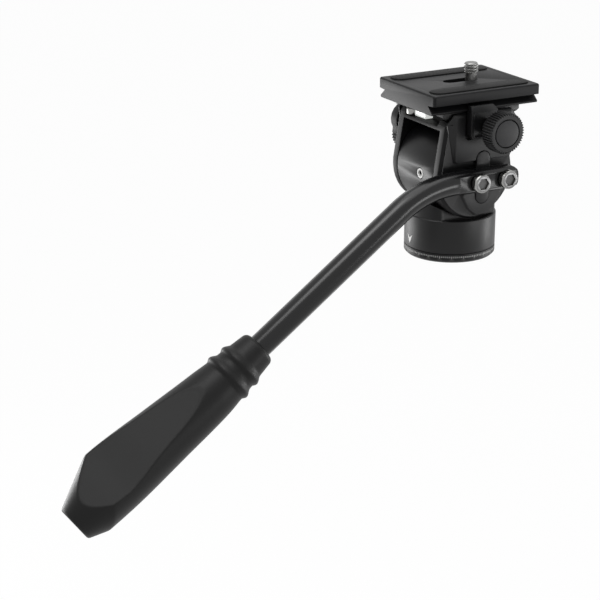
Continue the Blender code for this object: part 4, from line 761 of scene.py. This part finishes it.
def makeVial(setup):
    low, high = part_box("level_vial")
    inset = Vector((setup["inset"],) * 3) / 1000
    shape = boxShape(high - low - 2 * inset, middleOf("level_vial"))
    bmesh.ops.bevel(shape, geom=shape.edges[:], offset=setup["edge"] / 1000, segments=setup["edgeSteps"],
                    profile=0.5, affect="EDGES")
    piece = shapeToObject(shape, "level_vial_bar")
    shadeBy(piece, setup["sharpAngle"])
    finishPiece(piece, "level_vial", clearAcrylic)


makeBush(bushSetup)
makeVial(vialSetup)
print("bush and level made")


# Geometry Nodes tree: copies of one small piece round an axis

def makeRingTree():
    tree = bpy.data.node_groups.new("ringOfCopies", "GeometryNodeTree")
    inputs = {"Piece": "Object", "Material": "Material", "Copies": "Int", "Radius": "Float", "Step": "Float",
              "Start": "Float", "Long Every": "Int", "Long Scale": "Float"}
    for name, kind in inputs.items():
        tree.interface.new_socket(name, in_out="INPUT", socket_type="NodeSocket" + kind)
    tree.interface.new_socket("Geometry", in_out="OUTPUT", socket_type="NodeSocketGeometry")
    given = addNode(tree, "NodeGroupInput").outputs
    piece = addNode(tree, "GeometryNodeObjectInfo", {"transform_space": "ORIGINAL"},
                    {"Object": given["Piece"]})
    points = addNode(tree, "GeometryNodePoints", links={"Count": given["Copies"]})
    index = addNode(tree, "GeometryNodeInputIndex").outputs[0]
    turned = addNode(tree, "ShaderNodeMath", {"operation": "MULTIPLY_ADD"},
                     {0: index, 1: given["Step"], 2: given["Start"]})
    cosine = addNode(tree, "ShaderNodeMath", {"operation": "COSINE"}, {0: turned.outputs[0]})
    sine = addNode(tree, "ShaderNodeMath", {"operation": "SINE"}, {0: turned.outputs[0]})
    x = addNode(tree, "ShaderNodeMath", {"operation": "MULTIPLY"}, {0: cosine.outputs[0], 1: given["Radius"]})
    y = addNode(tree, "ShaderNodeMath", {"operation": "MULTIPLY"}, {0: sine.outputs[0], 1: given["Radius"]})
    place = addNode(tree, "ShaderNodeCombineXYZ", links={"X": x.outputs[0], "Y": y.outputs[0]})
    placed = addNode(tree, "GeometryNodeSetPosition",
                     links={"Geometry": points.outputs[0], "Position": place.outputs[0]})
    euler = addNode(tree, "ShaderNodeCombineXYZ", links={"Z": turned.outputs[0]})
    rotation = addNode(tree, "FunctionNodeEulerToRotation", links={"Euler": euler.outputs[0]})
    rest = addNode(tree, "ShaderNodeMath", {"operation": "FLOORED_MODULO"},
                   {0: index, 1: given["Long Every"]})
    isLong = addNode(tree, "ShaderNodeMath", {"operation": "LESS_THAN", 1: 0.5}, {0: rest.outputs[0]})
    longer = addNode(tree, "ShaderNodeMapRange", {"To Min": 1.0},
                     {"Value": isLong.outputs[0], "To Max": given["Long Scale"]})
    scale = addNode(tree, "ShaderNodeCombineXYZ", {"X": 1.0, "Y": 1.0}, {"Z": longer.outputs[0]})
    copies = addNode(tree, "GeometryNodeInstanceOnPoints",
                     links={"Points": placed.outputs[0], "Instance": piece.outputs["Geometry"],
                            "Rotation": rotation.outputs[0], "Scale": scale.outputs[0]})
    real = addNode(tree, "GeometryNodeRealizeInstances", links={"Geometry": copies.outputs[0]})
    painted = addNode(tree, "GeometryNodeSetMaterial",
                      links={"Geometry": real.outputs[0], "Material": given["Material"]})
    addNode(tree, "NodeGroupOutput", links={"Geometry": painted.outputs[0]})
    return tree


ringTree = makeRingTree()


def ringOfCopies(name, copy, material, values, placement):
    # run the tree once, keep the result as a plain mesh with one material, and put it in place
    holder = newObject(name, bpy.data.meshes.new(name))
    run = holder.modifiers.new("copies", "NODES")
    run.node_group = ringTree
    values = dict(values, Piece=copy, Material=material)
    for item in ringTree.interface.items_tree:
        if item.in_out == "INPUT":
            run[item.identifier] = values[item.name]
    piece = plainMesh(holder)
    for face in piece.data.polygons:
        face.material_index = 0
    bpy.data.objects.remove(copy)
    piece.data.transform(placement)
    return piece


# Clamp knob: turned core with a seat for the cap, and 46 rounded ribs
knobSetup = {
    "axisY": 3.0, "axisZ": 60.4, "inner": 30.2, "outer": 37.0, "radius": 8.8, "stemRadius": 3.4,
    "innerRound": 0.5, "outerRound": 0.25, "sides": 96, "sharpAngle": 35,
    "capRadius": 5.7, "capDepth": 1.2, "groove": 0.38, "seatBevel": 0.15,
    "ribs": 46, "ribDepth": 0.95, "ribHalfWidth": 0.32, "ribSunk": 0.02, "ribSides": 8, "ribSquareness": 0.8,
    # distance from the rib's end, share of its depth, and how far it sinks into the core
    "ribInner": [(0.05, 0.25, 0.3), (0.35, 0.85, 0.4), (0.8, 1.0, 0.4)],
    "ribOuter": [(0.8, 1.0, 0.4), (0.35, 0.85, 0.4), (0.02, 0.25, 0.3)],
}


def makeRib(setup, length):
    # a bar along Z that stands on the YZ plane at X = 0: rounded across, tapered at its ends
    sections = [(x, share * setup["ribDepth"], sink) for x, share, sink in setup["ribInner"]]
    sections += [(length - x, share * setup["ribDepth"], sink) for x, share, sink in setup["ribOuter"]]
    rings = []
    for height, rise, sink in sections:
        ring = []
        for i in range(setup["ribSides"]):
            angle = 2 * math.pi * i / setup["ribSides"]
            fullness = abs(math.sin(angle)) ** setup["ribSquareness"]
            side = math.copysign(fullness, math.sin(angle)) * setup["ribHalfWidth"]
            out = (rise if math.cos(angle) > 0 else sink) * math.cos(angle)
            ring.append(Vector((out, side, height)) / 1000)
        rings.append(ring)
    rib = meshFromRings("rib", rings)
    rib.data.shade_smooth()
    return rib


def makeKnob(setup):
    centre = Vector((0, setup["axisY"], setup["axisZ"])) / 1000
    core, stem = setup["radius"] - setup["ribDepth"], setup["stemRadius"]
    inner, outer = setup["inner"], setup["outer"]
    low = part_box("clamp_knob")[0].x * 1000
    seat = setup["capRadius"] + setup["groove"]
    profile = [(low, stem), (inner, stem)]
    profile += roundedCorner((inner, 0), (inner, core), (outer, core), setup["innerRound"])
    profile += roundedCorner((inner, core), (outer, core), (outer, 0), setup["outerRound"])
    profile += [(outer, seat + setup["seatBevel"]), (outer - setup["seatBevel"], seat),
                (outer - setup["capDepth"] - setup["groove"], seat)]
    piece = meshFromRings("clamp_knob_core", turnedRings(profile, setup["sides"], "X", centre))
    shadeBy(piece, setup["sharpAngle"])
    finishPiece(piece, "clamp_knob", mouldedNylon)
    foot = centre + Vector((inner / 1000, 0, 0))
    placement = Matrix.Translation(foot) @ Matrix.Rotation(math.pi / 2, 4, "Y")
    ribs = ringOfCopies("clamp_knob_ribs", makeRib(setup, outer - inner), mouldedNylon, {
        "Copies": setup["ribs"], "Radius": (core - setup["ribSunk"]) / 1000,
        "Step": 2 * math.pi / setup["ribs"], "Start": 0.0, "Long Every": 1, "Long Scale": 1.0}, placement)
    finishPiece(ribs, "clamp_knob", mouldedNylon, stands=False)


makeKnob(knobSetup)
print("knob made")


# Degree scale printed on the bottom ring; the middle of the ink lies just inside the ring's face
scaleSetup = {
    "radius": 20.0, "inkThickness": 0.02, "inkSunk": 0.005, "ticks": 144, "tickTop": 3.1, "tickHeight": 0.75,
    "tickWidth": 0.18, "longEvery": 6, "longScale": 1.45,
    "numbers": 24, "numberLow": 1.05, "numberHeight": 0.95, "fontSizePerHeight": 1.38,
}


def wrapOnRing(mesh, radius, turn):
    # lay a flat mesh (x along the ring, y up, z out) round the pan axis
    for vertex in mesh.vertices:
        x, y, out = vertex.co
        angle = turn + x / radius
        vertex.co = ((radius + out) * math.cos(angle), (radius + out) * math.sin(angle), y)


def makeTicks(setup, radius):
    size = Vector((setup["inkThickness"], setup["tickWidth"], setup["tickHeight"])) / 1000
    tick = shapeToObject(boxShape(size, Vector((0, 0, -size.z / 2))), "tick")
    placement = Matrix.Translation((0, 0, setup["tickTop"] / 1000))
    ticks = ringOfCopies("scale_ticks", tick, whiteInk, {
        "Copies": setup["ticks"], "Radius": radius, "Step": 2 * math.pi / setup["ticks"], "Start": 0.0,
        "Long Every": setup["longEvery"], "Long Scale": setup["longScale"]}, placement)
    finishPiece(ticks, "scale_ring", whiteInk, stands=False)


def makeNumbers(setup, radius):
    joined = bmesh.new()
    for i in range(setup["numbers"]):
        words = bpy.data.curves.new("number", "FONT")
        words.body = str(i * 360 // setup["numbers"])
        words.size = setup["numberHeight"] * setup["fontSizePerHeight"] / 1000
        words.align_x = "CENTER"
        words.extrude = setup["inkThickness"] / 2 / 1000
        words.resolution_u = 2
        number = plainMesh(newObject("number", words))
        for vertex in number.data.vertices:
            vertex.co.y += setup["numberLow"] / 1000
        wrapOnRing(number.data, radius, 2 * math.pi * i / setup["numbers"])
        joined.from_mesh(number.data)
        bpy.data.objects.remove(number)
    finishPiece(shapeToObject(joined, "scale_numbers"), "scale_ring", numberInk, stands=False)


# Pointer printed on the housing: a swept arrow head that points down; its back lies just inside the face
pointerSetup = {"radius": 20.0, "turn": -93.0, "halfWidth": 2.0, "wingHigh": 9.9, "wingEdge": 0.02,
                "notch": 8.3, "tip": 5.8, "inkThickness": 0.012, "inkSunk": 0.004, "columns": 10}


def makePointer(setup):
    shape = bmesh.new()
    rows = []
    for i in range(setup["columns"] + 1):
        side = -1 + 2 * i / setup["columns"]
        upper = setup["notch"] + (setup["wingHigh"] - setup["notch"]) * abs(side)
        lower = setup["tip"] + (setup["wingHigh"] - setup["wingEdge"] - setup["tip"]) * abs(side)
        corners = ((lower, 0), (upper, 0), (upper, setup["inkThickness"]), (lower, setup["inkThickness"]))
        rows.append([shape.verts.new(Vector((side * setup["halfWidth"], y, out)) / 1000)
                     for y, out in corners])
    for first, second in zip(rows, rows[1:]):
        for i in range(4):
            shape.faces.new((first[i], first[(i + 1) % 4], second[(i + 1) % 4], second[i]))
    shape.faces.new(rows[0])
    shape.faces.new(rows[-1])
    bmesh.ops.recalc_face_normals(shape, faces=shape.faces)
    piece = shapeToObject(shape, "pan_pointer")
    wrapOnRing(piece.data, (setup["radius"] - setup["inkSunk"]) / 1000, math.radians(setup["turn"]))
    finishPiece(piece, "pan_housing", whiteInk, stands=False)


inkRadius = (scaleSetup["radius"] - scaleSetup["inkSunk"]) / 1000
makeTicks(scaleSetup, inkRadius)
makeNumbers(scaleSetup, inkRadius)
makePointer(pointerSetup)
print("scale and pointer made")


# Grip: two rings on a tapered collar, a body that swells above the tube, a long flat and a tapering end
gripSetup = {
    "corner": (25.2, -30.0, 38.4), "fall": 35.9, "start": 97.1, "length": 102.3, "tubeRadius": 5.1,
    "steps": 180, "rows": 170, "mouthRows": 8, "endRows": 6, "sharpAngle": 40,
    # distance from the mouth, and the radius there without the rings
    "radii": [(0.0, 7.8), (7.2, 8.7), (12.9, 9.45), (19.6, 10.2), (27.0, 11.1), (51.2, 12.8), (77.8, 14.5),
              (102.3, 14.0)],
    # distance from the mouth, and how far the body's middle rises above the tube's
    "rises": [(0.0, 0.0), (27.0, 0.0), (51.2, 1.4), (77.8, 3.0), (102.3, 3.6)],
    "rings": [(10.3, 1.13), (17.0, 1.19)], "ringNear": 3.1, "ringFar": 2.25,
    "mouthLip": 1.0, "bore": 5.2, "boreSpare": 0.3, "boreStep": 0.3, "boreFlare": 0.25,
    "endRadius": 7.8, "endGrowth": 0.435, "endRound": 0.9,
    # distance from the mouth, and depth of the flat from the tube's axis
    "flatDepths": [(27.0, 11.3), (40.0, 10.8), (61.0, 10.9), (76.7, 10.0), (86.0, 10.9), (94.0, 11.2)],
    "flatAngle": 55.0, "leastFacing": 0.05, "noFlat": 99.0,  # noFlat is a depth beyond any skin
    "soft": 0.10, "flatEdge": 0.5,
}


def smoothCurve(knots, x):
    # a smooth curve through a few given points, level beyond them
    if x <= knots[0][0]:
        return knots[0][1]
    if x >= knots[-1][0]:
        return knots[-1][1]
    i = next(i for i in range(len(knots) - 1) if x <= knots[i + 1][0])

    def slope(k):
        a, b = knots[max(k - 1, 0)], knots[min(k + 1, len(knots) - 1)]
        return (b[1] - a[1]) / (b[0] - a[0])

    (x0, y0), (x1, y1) = knots[i], knots[i + 1]
    span = x1 - x0
    t = (x - x0) / span
    return ((2 * t ** 3 - 3 * t ** 2 + 1) * y0 + (t ** 3 - 2 * t ** 2 + t) * span * slope(i)
            + (3 * t ** 2 - 2 * t ** 3) * y1 + (t ** 3 - t ** 2) * span * slope(i + 1))


def gripRadius(setup, x):
    # the turned radius with the two rings, each steeper on its far side
    radius = smoothCurve(setup["radii"], x)
    for middle, height in setup["rings"]:
        away = (x - middle) / (setup["ringNear"] if x < middle else setup["ringFar"])
        if abs(away) < 1:
            radius += height * (1 - away ** 2) ** 2
    return radius


def cornerLoss(distance, radius):
    # how far a rounded corner stands back at a distance from the end
    if distance >= radius:
        return 0.0
    return radius - math.sqrt(max(radius ** 2 - (radius - max(distance, 0.0)) ** 2, 0.0))


def gripSection(setup, x, angle):
    # distance of the skin from the tube's axis, and the share of it that belongs to the flat
    radius, rise = gripRadius(setup, x), smoothCurve(setup["rises"], x)
    lip = setup["mouthLip"]
    body = (rise * math.sin(angle) + math.sqrt(radius ** 2 - (rise * math.cos(angle)) ** 2)
            - cornerLoss(x + lip, 2 * lip))
    left = setup["length"] - x
    taper = setup["endRadius"] + setup["endGrowth"] * left - cornerLoss(left, setup["endRound"])
    facing = math.cos(angle - math.radians(setup["flatAngle"]))
    flat = setup["noFlat"]
    if facing > setup["leastFacing"] and x > setup["flatDepths"][0][0]:
        flat = smoothCurve(setup["flatDepths"], x) / facing
    # the nearest of the three, with the corners between them softened
    nearest = min(body, taper, flat)
    weights = [math.exp((nearest - d) / setup["soft"]) for d in (body, taper, flat)]
    distance = nearest - setup["soft"] * math.log(sum(weights))
    return distance, limited((min(body, taper) - flat) / setup["flatEdge"])


def gripRing(setup, x, sectionAt, mouth, along):
    # one ring of the skin, x millimetres past the mouth, and the flat's share at each of its points
    up = Vector((0, along.z, -along.y))
    ring, shares = [], []
    for i in range(setup["steps"]):
        angle = 2 * math.pi * i / setup["steps"]
        distance, share = sectionAt(angle)
        outward = Vector((math.cos(angle), 0, 0)) + up * math.sin(angle)
        ring.append((mouth + along * x + outward * distance) / 1000)
        shares.append(share)
    return ring, shares


def makeGrip(setup):
    fall = math.radians(setup["fall"])
    along = Vector((0, -math.cos(fall), -math.sin(fall)))
    mouth = Vector(setup["corner"]) + along * setup["start"]
    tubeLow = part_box("handle_tube")[0].z * 1000 + setup["tubeRadius"] * math.cos(fall)
    boreEnd = (mouth.z - tubeLow) / math.sin(fall) + setup["boreSpare"]
    lip, bore = setup["mouthLip"], setup["bore"]
    mouthRows, endRows, rows = setup["mouthRows"], setup["endRows"], setup["rows"]
    straight = setup["length"] - setup["endRound"] - lip
    stations = [-lip + 2 * lip * (i / mouthRows) ** 2 for i in range(1, mouthRows)]
    stations += [lip + straight * i / rows for i in range(rows + 1)]
    stations += [setup["length"] - setup["endRound"] * (1 - math.sin(i / endRows * math.pi / 2))
                 for i in range(1, endRows + 1)]
    # from the bore's end up to the mouth, round the lip and down the outside
    sections = [(x, lambda angle: (bore, 0.0)) for x in (boreEnd, -lip + setup["boreStep"])]
    sections.append((-lip, lambda angle: (bore + setup["boreFlare"], 0.0)))
    sections += [(x, lambda angle, x=x: gripSection(setup, x, angle)) for x in stations]
    made = [gripRing(setup, x, sectionAt, mouth, along) for x, sectionAt in sections]
    piece = meshFromRings("handle_grip_skin", [ring for ring, _ in made])
    # the flat's share, where the material paints the paler sheen of reflected light
    marks = piece.data.attributes.new("flatShare", "FLOAT", "POINT")
    for i, share in enumerate(share for _, shares in made for share in shares):
        marks.data[i].value = share
    shadeBy(piece, setup["sharpAngle"])
    finishPiece(piece, "handle_grip", gripRubber)


makeGrip(gripSetup)
print("grip made")
